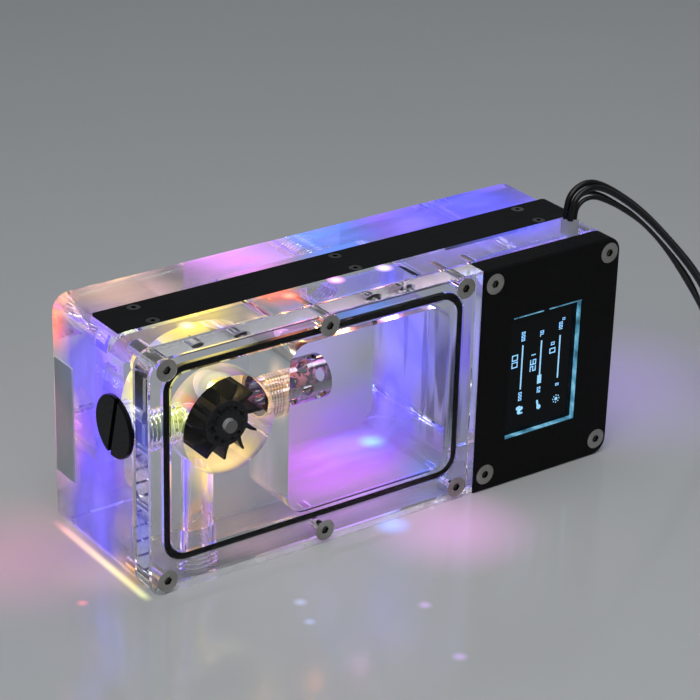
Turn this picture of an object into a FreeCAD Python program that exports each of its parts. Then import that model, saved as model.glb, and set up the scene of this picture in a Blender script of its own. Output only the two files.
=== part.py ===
import FreeCAD, Part
import math
import os
import re

import Sketcher
from FreeCAD import Placement, Rotation, Vector

# A clear water cooling reservoir block with a flow indicator wheel, a display and a light strip.
# Everything is drawn on the bench: x from the block's left end, y back from the front of the
# covers, z up from the base. Each finished piece is then shifted, so that the row's origin is
# under the middle of the block.

doc = FreeCAD.newDocument("reservoir")
sheet = doc.addObject("Spreadsheet::Sheet", "sizes")

driving = [
    ("blockLength", 158.5, "clear block, left to right"),
    ("blockDepth", 42.9, "clear block, front to back, without the covers"),
    ("blockHeight", 70, "clear block, base to top"),
    ("cornerRadius", 5, "rounded corners seen from the front"),
    ("edgeBreak", 0.5, "small chamfer round the polished faces"),
    ("coverThickness", 7.2, "clear cover and display cover"),
    ("seamGap", 0.1, "gap that the seal keeps between block and covers"),
    ("coverJoint", 0.3, "gap between the two covers"),
    ("chamberLeft", 46.5, "left end to the reservoir chamber"),
    ("chamberRightWall", 8.2, "reservoir chamber to the joint between the covers"),
    ("chamberFloor", 9.4, "base to the chamber's floor"),
    ("chamberTopWall", 9.2, "wall over the reservoir chamber"),
    ("chamberBackWall", 7.7, "wall behind the reservoir chamber"),
    ("chamberRadius", 6, "milled corners of the chamber"),
    ("wheelAcross", 27.3, "left end to the wheel's axis"),
    ("wheelDrop", 2, "axis of the side port down to the wheel's axis"),
    ("wheelPocketRadius", 14.3, "round chamber of the wheel"),
    ("wheelPocketDepth", 15.6, "round chamber of the wheel"),
    ("portRadius", 5.72, "core of a quarter inch pipe thread"),
    ("portBack", 9, "block's face to the axis of the side port"),
    ("portDrop", 25, "block's top down to the axis of the side port"),
    ("portMouthRadius", 7.9, "recess for the seal at the port's mouth"),
    ("portMouthDepth", 1.5, "recess for the seal at the port's mouth"),
    ("portThreadDepth", 13, "thread of the lower port under the wheel"),
    ("channelRadius", 4.8, "channel from that port up to the wheel"),
    ("inletAcross", 20.3, "left end to the lower port of the wheel chamber"),
    ("inletBack", 8.5, "block's face to the lower port of the wheel chamber"),
    ("outletEnd", 24.6, "rear port of the reservoir to the joint between the covers"),
    ("outletDrop", 20.5, "block's top down to the rear port of the reservoir"),
    ("tubeRadius", 6.3, "bright tube, outside"),
    ("tubeBoreRadius", 5.05, "bright tube, inside"),
    ("tubeCollarRadius", 6.5, "threaded end of the tube"),
    ("tubeStart", 41.3, "left end to the tube's near mouth"),
    ("tubeEnd", 62.4, "left end to the tube's far mouth"),
    ("tubeHoleRadius", 1.8, "cross holes of the tube"),
    ("tubeHolePitch", 4.7, "row to row of the cross holes"),
    ("tubeHoleFirst", 3.4, "wall of the chamber to the first row of holes"),
    ("tubeHoleRows", 3, "rows of cross holes"),
    ("tubeHolesAround", 3, "cross holes of one row, each through both walls"),
    ("sealLeft", 8.1, "left end to the seal's centre line"),
    ("sealFloor", 7.2, "base to the seal's centre line"),
    ("sealRight", 4.7, "seal's centre line to the joint between the covers"),
    ("sealTop", 6.7, "block's top down to the seal's centre line"),
    ("sealCorner", 6, "seal's centre line at the corners"),
    ("sealSection", 2.3, "thickness of the seal"),
    ("sealSlack", 0.05, "seal to the side of its groove"),
    ("screwRadius", 1.5, "shank of a cover screw"),
    ("screwLength", 15, "cover screw with its head"),
    ("screwHeadRadius", 3.1, "countersunk head"),
    ("screwHeadHeight", 1.7, "countersunk head"),
    ("screwSocketRadius", 1.25, "hexagon socket, across its corners"),
    ("screwSocketDepth", 1.1, "hexagon socket"),
    ("screwSlack", 0.05, "screw to the side of its hole"),
    ("screwSink", 0.1, "head below the cover's face"),
    ("coverScrewLow", 4.1, "base to the lower cover screws"),
    ("coverScrewDrop", 3.6, "block's top down to the upper cover screws"),
    ("coverScrewLeft", 5.6, "left end to the first cover screws"),
    ("coverScrewMiddle", 56.5, "left end to the middle cover screws"),
    ("coverScrewEnd", 6.3, "last cover screws to the joint between the covers"),
    ("displayScrewLow", 5.2, "base to the lower display cover screws"),
    ("displayScrewDrop", 4.7, "block's top down to the upper display cover screws"),
    ("displayScrewInset", 4.1, "joint between the covers to the display cover screws"),
    ("displayScrewEnd", 4, "outer display cover screws to the right end"),
    ("windowRight", 13.2, "display window to the right end"),
    ("windowSide", 10.6, "display window to the joint between the covers"),
    ("windowWidth", 26.1, "display window"),
    ("windowFloor", 14.5, "base to the display window"),
    ("windowTop", 17, "block's top down to the display window"),
    ("windowLip", 2, "depth of the window in front of its glass"),
    ("glassRim", 2, "glass hidden behind the lip, each side"),
    ("glassThickness", 1, "display glass"),
    ("panelRim", 0.6, "display panel hidden behind the lip, each side"),
    ("boardThickness", 1.6, "control board"),
    ("boardRimAcross", 3.4, "control board beyond the window, each side"),
    ("boardRimUp", 4.6, "control board beyond the window, above and below"),
    ("boardSlack", 0.15, "clearance round the glass and the board"),
    ("electronicsDepth", 9, "pocket in the block behind the control board"),
    ("electronicsRim", 0.6, "pocket beyond the control board, each side"),
    ("boardScrewInset", 2.1, "corner of the control board to its screws"),
    ("boardScrewRadius", 0.8, "screw of the control board"),
    ("boardScrewHead", 1.5, "pan head of that screw"),
    ("boardScrewHeadHeight", 1, "pan head of that screw"),
    ("boardScrewReach", 2, "that screw beyond the board"),
    ("controllerSide", 10, "square chip on the board"),
    ("controllerHeight", 1.6, "square chip on the board"),
    ("controllerRise", 8, "window's floor to the square chip"),
    ("driverWidth", 6, "flat chip on the board"),
    ("driverSide", 5, "flat chip on the board"),
    ("driverHeight", 1.4, "flat chip on the board"),
    ("driverRise", 25, "window's floor to the flat chip"),
    ("headerWidth", 4, "pin header under the cable socket"),
    ("headerHeight", 5, "pin header under the cable socket"),
    ("headerSide", 6, "pin header under the cable socket"),
    ("socketEnd", 13.6, "left side of the cable socket to the right end"),
    ("socketWidth", 3.6, "cable socket"),
    ("socketDepth", 3.6, "cable socket, front to back"),
    ("socketProud", 4.4, "cable socket above the block"),
    ("socketDrop", 12, "cable socket below the block's top"),
    ("notchSlack", 0.25, "cable notch round the socket"),
    ("stripLeft", 2.9, "left end to the light cover"),
    ("stripRight", 1.3, "light cover to the right end"),
    ("stripBack", 12.1, "block's face to the light cover"),
    ("stripWidth", 14.5, "light cover"),
    ("stripThickness", 2.5, "light cover, flush with the top"),
    ("stripCorner", 1, "corners of the light cover"),
    ("stripSlack", 0.05, "light cover to its rebate"),
    ("lightGrooveWidth", 6.6, "groove under the light cover"),
    ("lightGrooveDepth", 4.6, "groove under the light cover"),
    ("lightGrooveRim", 0.6, "end of the light cover to the groove's end"),
    ("lightBoardWidth", 5.6, "board of the lamps"),
    ("lightBoardThickness", 0.8, "board of the lamps"),
    ("lampInset", 2.45, "end of the light cover to the first lamp, and to the last"),
    ("lampCount", 10, "lamps on the board"),
    ("lampWidth", 3.5, "one lamp, along the board"),
    ("lampDepth", 2.8, "one lamp, across the board"),
    ("lampHeight", 1.2, "one lamp"),
    ("smallScrewRadius", 0.85, "screw of the light cover"),
    ("smallScrewLength", 5.6, "that screw with its head"),
    ("smallHeadRadius", 1.9, "its countersunk head"),
    ("smallHeadHeight", 1.1, "its countersunk head"),
    ("smallSocketRadius", 0.75, "its hexagon socket"),
    ("smallSocketDepth", 0.7, "its hexagon socket"),
    ("smallScrewSpread", 4.9, "middle of the light cover to its screws"),
    ("smallScrewLeft", 14.6, "left end to the first pair"),
    ("smallScrewEnd", 13, "last pair to the right end"),
    ("plugHeadRadius", 8.9, "stop plug"),
    ("plugHeadHeight", 1.3, "stop plug, proud of the block"),
    ("plugHeadBreak", 0.3, "chamfer of the plug's head"),
    ("plugShankLength", 8.5, "stop plug, inside the block"),
    ("plugSlotWidth", 1.7, "slot of the stop plug"),
    ("plugSlotDepth", 1, "slot of the stop plug"),
    ("plugSlotTurn", 14, "slot, degrees from upright"),
    ("plugShankSlack", 0.02, "plug to the port's wall"),
    ("plugSealSection", 1.5, "seal under the plug's head"),
    ("wheelHubRadius", 6.6, "hub of the wheel"),
    ("wheelHubGap", 0.3, "hub to the cover and to the chamber's back"),
    ("wheelBladeInset", 1.3, "hub's face to the blades, front and back"),
    ("wheelFaceRadius", 4.4, "raised middle of the hub"),
    ("bladeCount", 11, "blades of the wheel"),
    ("bladeRootReach", 5.3, "height of a blade's root over the axis"),
    ("bladeRootHalf", 1.05, "half a blade's thickness at its root"),
    ("bladeTipShift", 3.3, "sideways lean of a blade's tip"),
    ("bladeTipReach", 10.4, "height of a blade's tip over the axis"),
    ("bladeTipHalf", 0.3, "half a blade's thickness at its tip"),
    ("bladeFrontBow", 9, "hollow face of a blade"),
    ("bladeBackBow", 12, "round face of a blade"),
    ("hubHoleRadius", 0.8, "moulded recesses in the hub's face"),
    ("hubHoleDepth", 1.2, "moulded recesses in the hub's face"),
    ("shaftRadius", 1.9, "steel shaft of the wheel"),
    ("shaftClearance", 0.05, "running fit of the wheel on its shaft"),
    ("shaftFrontSeat", 2, "shaft inside the clear cover"),
    ("shaftBackSeat", 4, "shaft inside the block"),
    ("plateEnd", 1.7, "name plate to the block's back"),
    ("plateWidth", 9.5, "bare name plate"),
    ("plateFloor", 17.8, "base to the name plate"),
    ("plateTop", 17.6, "block's top down to the name plate"),
    ("plateThickness", 0.5, "bare name plate"),
    ("thickLeadRadius", 0.9, "the two thicker leads"),
    ("thinLeadRadius", 0.65, "the two thinner leads"),
    ("sleeveRadius", 2.5, "sleeve where the leads join"),
    ("sleeveLength", 14, "sleeve where the leads join"),
    ("sleeveAcross", 154, "middle of the block to the sleeve's near end"),
    ("sleeveFront", 13, "middle of the block forwards to the sleeve"),
    ("coilLead", 24, "sleeve to the coil's first turn"),
    ("cableRadius", 2.1, "joined cable"),
    ("coilInner", 18.9, "put away coil, inside"),
    ("coilOuter", 27.4, "put away coil, outside"),
    ("coilHeight", 7.9, "put away coil"),
    ("tieWidth", 5, "tie round the coil"),
    ("tieThickness", 0.6, "tie round the coil"),
    ("jackWidth", 7, "connector at the cable's end"),
    ("jackHeight", 5, "connector at the cable's end"),
    ("jackLength", 13, "connector at the cable's end"),
    ("tailTop", 9.5, "cable's end, from the coil's middle along its top"),
    ("tailFoot", 19.5, "coil's middle to where the cable's end is nearly down"),
    ("tailLength", 27.5, "coil's middle to the connector"),
]
derived = [
    ("displayCoverLength", "windowSide + windowWidth + windowRight"),
    ("coverSeam", "blockLength - displayCoverLength"),
    ("chamberWidth", "coverSeam - chamberRightWall - chamberLeft"),
    ("chamberHeight", "blockHeight - chamberTopWall - chamberFloor"),
    ("chamberDepth", "blockDepth - chamberBackWall"),
    ("portRise", "blockHeight - portDrop"),
    ("wheelRise", "portRise - wheelDrop"),
    ("outletAcross", "coverSeam - outletEnd"),
    ("outletRise", "blockHeight - outletDrop"),
    ("sealWidth", "coverSeam - sealRight - sealLeft"),
    ("sealHeight", "blockHeight - sealTop - sealFloor"),
    ("coverScrewHigh", "blockHeight - coverScrewDrop"),
    ("coverScrewRight", "coverSeam - coverScrewEnd"),
    ("displayScrewHigh", "blockHeight - displayScrewDrop"),
    ("displayScrewLeft", "coverSeam + displayScrewInset"),
    ("displayScrewRight", "blockLength - displayScrewEnd"),
    ("windowLeft", "blockLength - windowRight - windowWidth"),
    ("windowHeight", "blockHeight - windowTop - windowFloor"),
    ("socketLeft", "blockLength - socketEnd"),
    ("socketTop", "blockHeight + socketProud"),
    ("stripLength", "blockLength - stripLeft - stripRight"),
    ("lampFirst", "stripLeft + lampInset"),
    ("lampPitch", "(stripLength - 2 * lampInset) / (lampCount - 1)"),
    ("smallScrewMiddle", "stripLeft + stripLength / 2"),
    ("smallScrewRight", "blockLength - smallScrewEnd"),
    ("plateBack", "blockDepth - plateEnd - plateWidth"),
    ("plateHeight", "blockHeight - plateTop - plateFloor"),
]
driving += [(alias, "=" + formula, "follows the sizes above") for alias, formula in derived]
for row, (alias, value, note) in enumerate(driving, start=1):
    sheet.set(f"A{row}", alias)
    sheet.set(f"B{row}", str(value))
    sheet.setAlias(f"B{row}", alias)
    sheet.set(f"C{row}", note)
doc.recompute()

aliases = {alias for alias, value, note in driving}
blockFace = "coverThickness + seamGap"
blockBack = "coverThickness + seamGap + blockDepth"
nodes = {}


def size(alias):
    return float(sheet.get(alias))


def amount(text):
    # the number behind a sum of products of sheet sizes
    total = 0.0
    for sign, term in re.findall(r"([+-]?)\s*([^+-]+)", str(text)):
        value = 1.0
        for operator, factor in re.findall(r"([*/]?)\s*([\w.]+)", term):
            number = size(factor) if factor in aliases else float(factor)
            value = value / number if operator == "/" else value * number
        total += -value if sign == "-" else value
    return total


def bind(item, path, text):
    def inSheet(word):
        return "sizes." + word[0] if word[0] in aliases else word[0]

    item.setExpression(path, re.sub(r"[A-Za-z]\w*", inSheet, str(text)))


def shiftToOrigin(item):
    bind(item, "Placement.Base.x", "-blockLength / 2")
    bind(item, "Placement.Base.y", "-coverThickness / 2 - seamGap / 2 - blockDepth / 2")


def keep(item, name):
    item.Label = name
    nodes[name] = item
    return item


def finish(item, name):
    shiftToOrigin(item)
    return keep(item, name)


# Sketches and solid features

sides = {"XY": ("XY_Plane", 1), "XZ": ("XZ_Plane", -1), "YZ": ("YZ_Plane", 1)}


def newBody(name):
    return doc.addObject("PartDesign::Body", name)


def newSketch(body, name, plane, level):
    role, sense = sides[plane]
    sketch = body.newObject("Sketcher::SketchObject", name)
    sketch.AttachmentSupport = [(next(f for f in body.Origin.OriginFeatures if f.Role == role), "")]
    sketch.MapMode = "FlatFace"
    bind(sketch, "AttachmentOffset.Base.z", level if sense > 0 else f"0 - 1 * ({level})")
    return sketch


def addSize(sketch, constraint, name, text):
    place = sketch.addConstraint(constraint)
    sketch.renameConstraint(place, name)
    bind(sketch, f"Constraints.{name}", text)


def roundedOutline(sketch, prefix, left, floor, width, height, radius, rounded=(1, 1, 1, 1)):
    # corners run from the lower left one, counterclockwise
    x0, y0 = amount(left), amount(floor)
    x1, y1 = x0 + amount(width), y0 + amount(height)
    r = amount(radius)
    corners = [(x0, y0), (x1, y0), (x1, y1), (x0, y1)]
    ways = [(1, 0), (0, 1), (-1, 0), (0, -1)]
    lines = []
    for i in range(4):
        (ax, ay), (bx, by), (ux, uy) = corners[i], corners[(i + 1) % 4], ways[i]
        a = r * rounded[i]
        b = r * rounded[(i + 1) % 4]
        start, end = Vector(ax + ux * a, ay + uy * a, 0), Vector(bx - ux * b, by - uy * b, 0)
        lines.append(sketch.addGeometry(Part.LineSegment(start, end)))
        sketch.addConstraint(Sketcher.Constraint("Vertical" if i % 2 else "Horizontal", lines[i]))
    firstArc = None
    for i in range(4):
        before, after = lines[i - 1], lines[i]
        if not rounded[i]:
            sketch.addConstraint(Sketcher.Constraint("Coincident", before, 2, after, 1))
            continue
        (cx, cy), (ux, uy), (vx, vy) = corners[i], ways[i - 1], ways[i]
        middle = Vector(cx - ux * r + vx * r, cy - uy * r + vy * r, 0)
        begin = math.atan2(-vy, -vx)
        ring = Part.Circle(middle, Vector(0, 0, 1), r)
        arc = sketch.addGeometry(Part.ArcOfCircle(ring, begin, begin + math.pi / 2))
        sketch.addConstraint(Sketcher.Constraint("Tangent", before, 2, arc, 1))
        sketch.addConstraint(Sketcher.Constraint("Tangent", arc, 2, after, 1))
        if firstArc is None:
            firstArc = arc
            addSize(sketch, Sketcher.Constraint("Radius", arc, r), prefix + "Radius", radius)
        else:
            sketch.addConstraint(Sketcher.Constraint("Equal", firstArc, arc))
    bottom, right, top, leftSide = lines
    addSize(sketch, Sketcher.Constraint("DistanceX", -1, 1, leftSide, 1, x0), prefix + "Left", left)
    addSize(sketch, Sketcher.Constraint("DistanceY", -1, 1, bottom, 1, y0), prefix + "Floor", floor)
    addSize(sketch, Sketcher.Constraint("DistanceX", leftSide, 1, right, 1, x1 - x0), prefix + "Width", width)
    addSize(sketch, Sketcher.Constraint("DistanceY", bottom, 1, top, 1, y1 - y0), prefix + "Height", height)


def circleOutline(sketch, prefix, across, up, radius):
    x, y, r = amount(across), amount(up), amount(radius)
    ring = sketch.addGeometry(Part.Circle(Vector(x, y, 0), Vector(0, 0, 1), r))
    addSize(sketch, Sketcher.Constraint("Radius", ring, r), prefix + "Radius", radius)
    for kind, way, number, text in (("DistanceX", "Across", x, across), ("DistanceY", "Up", y, up)):
        if text == "0":
            flat = "PointOnObject"
            sketch.addConstraint(Sketcher.Constraint(flat, ring, 3, -2 if kind == "DistanceX" else -1))
        else:
            addSize(sketch, Sketcher.Constraint(kind, -1, 1, ring, 3, number), prefix + way, text)


def extrude(body, sketch, kind, name, length):
    # every pad and pocket runs from its sketch towards larger x, y or z
    feature = body.newObject(f"PartDesign::{kind}", name)
    feature.Profile = sketch
    bind(feature, "Length", length)
    onFront = sketch.AttachmentSupport[0][0].Role == "XZ_Plane"
    feature.Reversed = onFront if kind == "Pad" else not onFront
    sketch.Visibility = False
    return feature


def bore(body, name, plane, level, across, up, radius, length):
    sketch = newSketch(body, name + "Sketch", plane, level)
    circleOutline(sketch, "hole", across, up, radius)
    return extrude(body, sketch, "Pocket", name, length)


def roundedPocket(body, name, plane, level, box, radius, length):
    sketch = newSketch(body, name + "Sketch", plane, level)
    roundedOutline(sketch, "pocket", *box, radius)
    return extrude(body, sketch, "Pocket", name, length)


def roundedPad(body, name, plane, level, box, radius, length, rounded=(1, 1, 1, 1)):
    sketch = newSketch(body, name + "Sketch", plane, level)
    roundedOutline(sketch, "pad", *box, radius, rounded)
    return extrude(body, sketch, "Pad", name, length)


def breakEdges(body, feature, name, chosen, width):
    doc.recompute()
    names = [f"Edge{i}" for i, edge in enumerate(feature.Shape.Edges, start=1) if chosen(edge)]
    chamfer = body.newObject("PartDesign::Chamfer", name)
    chamfer.Base = (feature, names)
    bind(chamfer, "Size", width)
    return chamfer


def flatIn(edge, axis):
    box = edge.BoundBox
    return (box.XLength, box.YLength, box.ZLength)[axis] < 1e-6


# Round and square stock, for pieces and for what is cut from them

turned = {
    "X": Rotation(Vector(0, 1, 0), 90),
    "Y": Rotation(Vector(1, 0, 0), -90),
    "Z": Rotation(),
    "down": Rotation(Vector(1, 0, 0), 180),
}


def placeAt(item, spot, axis):
    item.Placement = Placement(Vector(), turned[axis])
    for way, text in zip("xyz", spot):
        bind(item, f"Placement.Base.{way}", text)
    return item


def rod(name, spot, axis, radius, length):
    item = doc.addObject("Part::Cylinder", name)
    bind(item, "Radius", radius)
    bind(item, "Height", length)
    return placeAt(item, spot, axis)


def cone(name, spot, axis, radius, endRadius, length):
    item = doc.addObject("Part::Cone", name)
    bind(item, "Radius1", radius)
    bind(item, "Radius2", endRadius)
    bind(item, "Height", length)
    return placeAt(item, spot, axis)


def hexagon(name, spot, axis, radius, length):
    item = doc.addObject("Part::Prism", name)
    item.Polygon = 6
    bind(item, "Circumradius", radius)
    bind(item, "Height", length)
    return placeAt(item, spot, axis)


def block(name, spot, length, width, height):
    item = doc.addObject("Part::Box", name)
    bind(item, "Length", length)
    bind(item, "Width", width)
    bind(item, "Height", height)
    return placeAt(item, spot, "Z")


def joined(name, parts):
    item = doc.addObject("Part::MultiFuse", name)
    item.Shapes = parts
    return item


def gathered(name, parts):
    item = doc.addObject("Part::Compound", name)
    item.Links = parts
    return item


def cutFrom(name, base, tool):
    item = doc.addObject("Part::Cut", name)
    item.Base = base
    item.Tool = tool
    return item


# Fasteners: one kind of screw is a dictionary of its sizes

coverScrew = {
    "radius": "screwRadius", "length": "screwLength", "headRadius": "screwHeadRadius",
    "headHeight": "screwHeadHeight", "socketRadius": "screwSocketRadius", "socketDepth": "screwSocketDepth",
}
smallScrew = {
    "radius": "smallScrewRadius", "length": "smallScrewLength", "headRadius": "smallHeadRadius",
    "headHeight": "smallHeadHeight", "socketRadius": "smallSocketRadius", "socketDepth": "smallSocketDepth",
}


def countersunkScrew(name, kind, spot, axis):
    head = cone(name + "Head", spot, axis, kind["headRadius"], kind["radius"], kind["headHeight"])
    shank = rod(name + "Shank", spot, axis, kind["radius"], kind["length"])
    socket = hexagon(name + "Socket", spot, axis, kind["socketRadius"], kind["socketDepth"])
    return cutFrom(name, joined(name + "Blank", [head, shank]), socket)


def countersunkHole(name, kind, spot, axis, length):
    # a little wider than the screw, and open to the face in front of the sunk head
    wide, narrow = f"{kind['headRadius']} + screwSlack", f"{kind['radius']} + screwSlack"
    head = cone(name + "Seat", spot, axis, wide, narrow, kind["headHeight"])
    shank = rod(name + "Bore", spot, axis, narrow, length)
    mouth = list(spot)
    way = {"Y": 1, "down": 2}[axis]
    mouth[way] = f"{spot[way]} - screwSink" if axis == "Y" else spot[way]
    lip = rod(name + "Mouth", mouth, axis if axis == "Y" else "Z", wide, "screwSink")
    return joined(name, [lip, head, shank])


coverScrewSpots = [
    (across, up)
    for up in ("coverScrewLow", "coverScrewHigh")
    for across in ("coverScrewLeft", "coverScrewMiddle", "coverScrewRight")
]
displayScrewSpots = [
    (across, up)
    for up in ("displayScrewLow", "displayScrewHigh")
    for across in ("displayScrewLeft", "displayScrewRight")
]
stripMiddle = f"{blockFace} + stripBack + stripWidth / 2"
smallScrewSpots = [
    (across, f"{stripMiddle} {way} smallScrewSpread")
    for across in ("smallScrewLeft", "smallScrewMiddle", "smallScrewRight")
    for way in "-+"
]
smallScrewTop = "blockHeight - screwSink"
boardScrewSpots = [
    (across, up)
    for up in ("windowFloor - boardRimUp + boardScrewInset",
               "windowFloor + windowHeight + boardRimUp - boardScrewInset")
    for across in ("windowLeft - boardRimAcross + boardScrewInset",
                   "windowLeft + windowWidth + boardRimAcross - boardScrewInset")
]

# The boxes of the flat pieces: left, floor, width, height

wholeFace = ("0", "0", "blockLength", "blockHeight")
chamberBox = ("chamberLeft", "chamberFloor", "chamberWidth", "chamberHeight")
windowBox = ("windowLeft", "windowFloor", "windowWidth", "windowHeight")


def grown(box, across, up=None):
    left, floor, width, height = box
    up = up or across
    return (f"{left} - {across}", f"{floor} - {up}", f"{width} + 2 * {across}", f"{height} + 2 * {up}")


glassBox = grown(windowBox, "glassRim")
panelBox = grown(windowBox, "panelRim")
boardBox = grown(windowBox, "boardRimAcross", "boardRimUp")
boardFront = "coverThickness - boardThickness"


def makeMainBlock():
    body = newBody("blockBody")
    outline = roundedPad(body, "blockPad", "XZ", blockFace, wholeFace, "cornerRadius", "blockDepth")
    breakEdges(body, outline, "blockBreak", lambda edge: flatIn(edge, 1), "edgeBreak")
    roundedPocket(body, "chamber", "XZ", blockFace, chamberBox, "chamberRadius", "chamberDepth")
    bore(body, "wheelPocket", "XZ", blockFace, "wheelAcross", "wheelRise", "wheelPocketRadius",
         "wheelPocketDepth")
    bore(body, "shaftSeat", "XZ", f"{blockFace} + wheelPocketDepth", "wheelAcross", "wheelRise",
         "shaftRadius", "shaftBackSeat")
    axisY = f"{blockFace} + portBack"
    bore(body, "sidePort", "YZ", "0", axisY, "portRise", "portRadius", "wheelAcross")
    bore(body, "sidePortMouth", "YZ", "0", axisY, "portRise", "portMouthRadius", "portMouthDepth")
    bore(body, "tubeBore", "YZ", "wheelAcross", axisY, "portRise", "tubeCollarRadius",
         "chamberLeft - wheelAcross")
    inletY = f"{blockFace} + inletBack"
    bore(body, "lowerInlet", "XY", "0", "inletAcross", inletY, "portRadius", "portThreadDepth")
    bore(body, "inletChannel", "XY", "0", "inletAcross", inletY, "channelRadius",
         "wheelRise - wheelPocketRadius / 2")
    bore(body, "rearOutlet", "XZ", f"{blockFace} + chamberDepth", "outletAcross", "outletRise", "portRadius",
         "blockDepth - chamberDepth")
    groove = newSketch(body, "sealGrooveSketch", "XZ", blockFace)
    half = "sealSection / 2"
    roundedOutline(groove, "outer", f"sealLeft - {half} - sealSlack", f"sealFloor - {half} - sealSlack",
                   "sealWidth + sealSection + 2 * sealSlack", "sealHeight + sealSection + 2 * sealSlack",
                   f"sealCorner + {half} + sealSlack")
    roundedOutline(groove, "inner", f"sealLeft + {half} + sealSlack", f"sealFloor + {half} + sealSlack",
                   "sealWidth - sealSection - 2 * sealSlack", "sealHeight - sealSection - 2 * sealSlack",
                   f"sealCorner - {half} - sealSlack")
    extrude(body, groove, "Pocket", "sealGroove", "sealSection - seamGap")
    roundedPocket(body, "electronics", "XZ", blockFace, grown(boardBox, "electronicsRim"), "cornerRadius / 2",
                  "electronicsDepth")
    notch = ("socketLeft - notchSlack", blockFace, "socketWidth + 2 * notchSlack",
             "socketDepth + 2 * notchSlack")
    roundedPocket(body, "cableNotch", "XY", "blockHeight - socketDrop - notchSlack", notch, "notchSlack",
                  "socketDrop + 2 * notchSlack")
    rebate = ("stripLeft - stripSlack", f"{blockFace} + stripBack - stripSlack",
              "stripLength + 2 * stripSlack", "stripWidth + 2 * stripSlack")
    roundedPocket(body, "stripRebate", "XY", "blockHeight - stripThickness", rebate, "stripCorner",
                  "stripThickness")
    lightGroove = ("stripLeft + lightGrooveRim", f"{stripMiddle} - lightGrooveWidth / 2",
                   "stripLength - 2 * lightGrooveRim", "lightGrooveWidth")
    roundedPocket(body, "lightGroove", "XY", "blockHeight - stripThickness - lightGrooveDepth", lightGroove,
                  "stripCorner", "lightGrooveDepth")
    holes = newSketch(body, "screwHoleSketch", "XZ", blockFace)
    for number, (across, up) in enumerate(coverScrewSpots + displayScrewSpots):
        circleOutline(holes, f"hole{number}", across, up, "screwRadius + screwSlack")
    extrude(body, holes, "Pocket", "screwHoles", "screwLength + screwSink - coverThickness")
    smallHoles = newSketch(body, "smallHoleSketch", "XY", "blockHeight - smallScrewLength - screwSink")
    for number, (across, back) in enumerate(smallScrewSpots):
        circleOutline(smallHoles, f"hole{number}", across, back, "smallScrewRadius + screwSlack")
    extrude(body, smallHoles, "Pocket", "smallScrewHoles", "smallScrewLength")
    finish(body, "main_block")


def makeFrontCover():
    body = newBody("frontCoverBody")
    box = ("0", "0", "coverSeam - coverJoint / 2", "blockHeight")
    plate = roundedPad(body, "frontCoverPad", "XZ", "0", box, "cornerRadius", "coverThickness", (1, 0, 0, 1))
    breakEdges(body, plate, "frontCoverBreak", lambda edge: flatIn(edge, 1), "edgeBreak")
    bore(body, "shaftFrontBore", "XZ", "coverThickness - shaftFrontSeat", "wheelAcross", "wheelRise",
         "shaftRadius", "shaftFrontSeat")
    holes = [
        countersunkHole(f"coverHole{i}", coverScrew, (across, "screwSink", up), "Y", "coverThickness")
        for i, (across, up) in enumerate(coverScrewSpots)
    ]
    finish(cutFrom("frontCover", body, joined("coverHoles", holes)), "front_cover")


def makeDisplayCover():
    body = newBody("displayCoverBody")
    box = ("coverSeam + coverJoint / 2", "0", "blockLength - coverSeam - coverJoint / 2", "blockHeight")
    plate = roundedPad(body, "displayCoverPad", "XZ", "0", box, "cornerRadius", "coverThickness",
                       (0, 1, 1, 0))
    breakEdges(body, plate, "displayCoverBreak", lambda edge: flatIn(edge, 1), "edgeBreak")
    roundedPocket(body, "window", "XZ", "0", windowBox, "edgeBreak", "coverThickness")
    roundedPocket(body, "glassPocket", "XZ", "windowLip", grown(glassBox, "boardSlack"), "edgeBreak",
                  "coverThickness - windowLip")
    roundedPocket(body, "boardPocket", "XZ", boardFront, grown(boardBox, "boardSlack"), "edgeBreak",
                  "boardThickness")
    threads = newSketch(body, "boardScrewSketch", "XZ", f"{boardFront} - boardScrewReach")
    for number, (across, up) in enumerate(boardScrewSpots):
        circleOutline(threads, f"hole{number}", across, up, "boardScrewRadius")
    extrude(body, threads, "Pocket", "boardScrewHoles", "boardScrewReach + boardThickness")
    holes = [
        countersunkHole(f"displayHole{i}", coverScrew, (across, "screwSink", up), "Y", "coverThickness")
        for i, (across, up) in enumerate(displayScrewSpots)
    ]
    finish(cutFrom("displayCover", body, joined("displayHoles", holes)), "display_cover")


def makeCoverScrews():
    for group, spots in (("cover_screws", coverScrewSpots), ("display_cover_screws", displayScrewSpots)):
        screws = [
            countersunkScrew(f"{group}{i}", coverScrew, (across, "screwSink", up), "Y")
            for i, (across, up) in enumerate(spots)
        ]
        finish(gathered(group, screws), group)


def makeCoverSeal():
    path = doc.addObject("Sketcher::SketchObject", "sealPath")
    path.Placement = Placement(Vector(), Rotation(Vector(1, 0, 0), 90))
    bind(path, "Placement.Base.y", "coverThickness + sealSection / 2")
    roundedOutline(path, "seal", "sealLeft", "sealFloor", "sealWidth", "sealHeight", "sealCorner")
    section = doc.addObject("Part::Circle", "sealSectionRing")
    bind(section, "Radius", "sealSection / 2")
    section.Placement = Placement(Vector(), turned["X"])
    bind(section, "Placement.Base.x", "sealLeft + sealWidth / 2")
    bind(section, "Placement.Base.y", "coverThickness + sealSection / 2")
    bind(section, "Placement.Base.z", "sealFloor")
    doc.recompute()
    sweep = doc.addObject("Part::Sweep", "coverSeal")
    sweep.Sections = [section]
    sweep.Spine = (path, [f"Edge{i}" for i in range(1, len(path.Shape.Edges) + 1)])
    sweep.Solid = True
    finish(sweep, "cover_seal")


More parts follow.
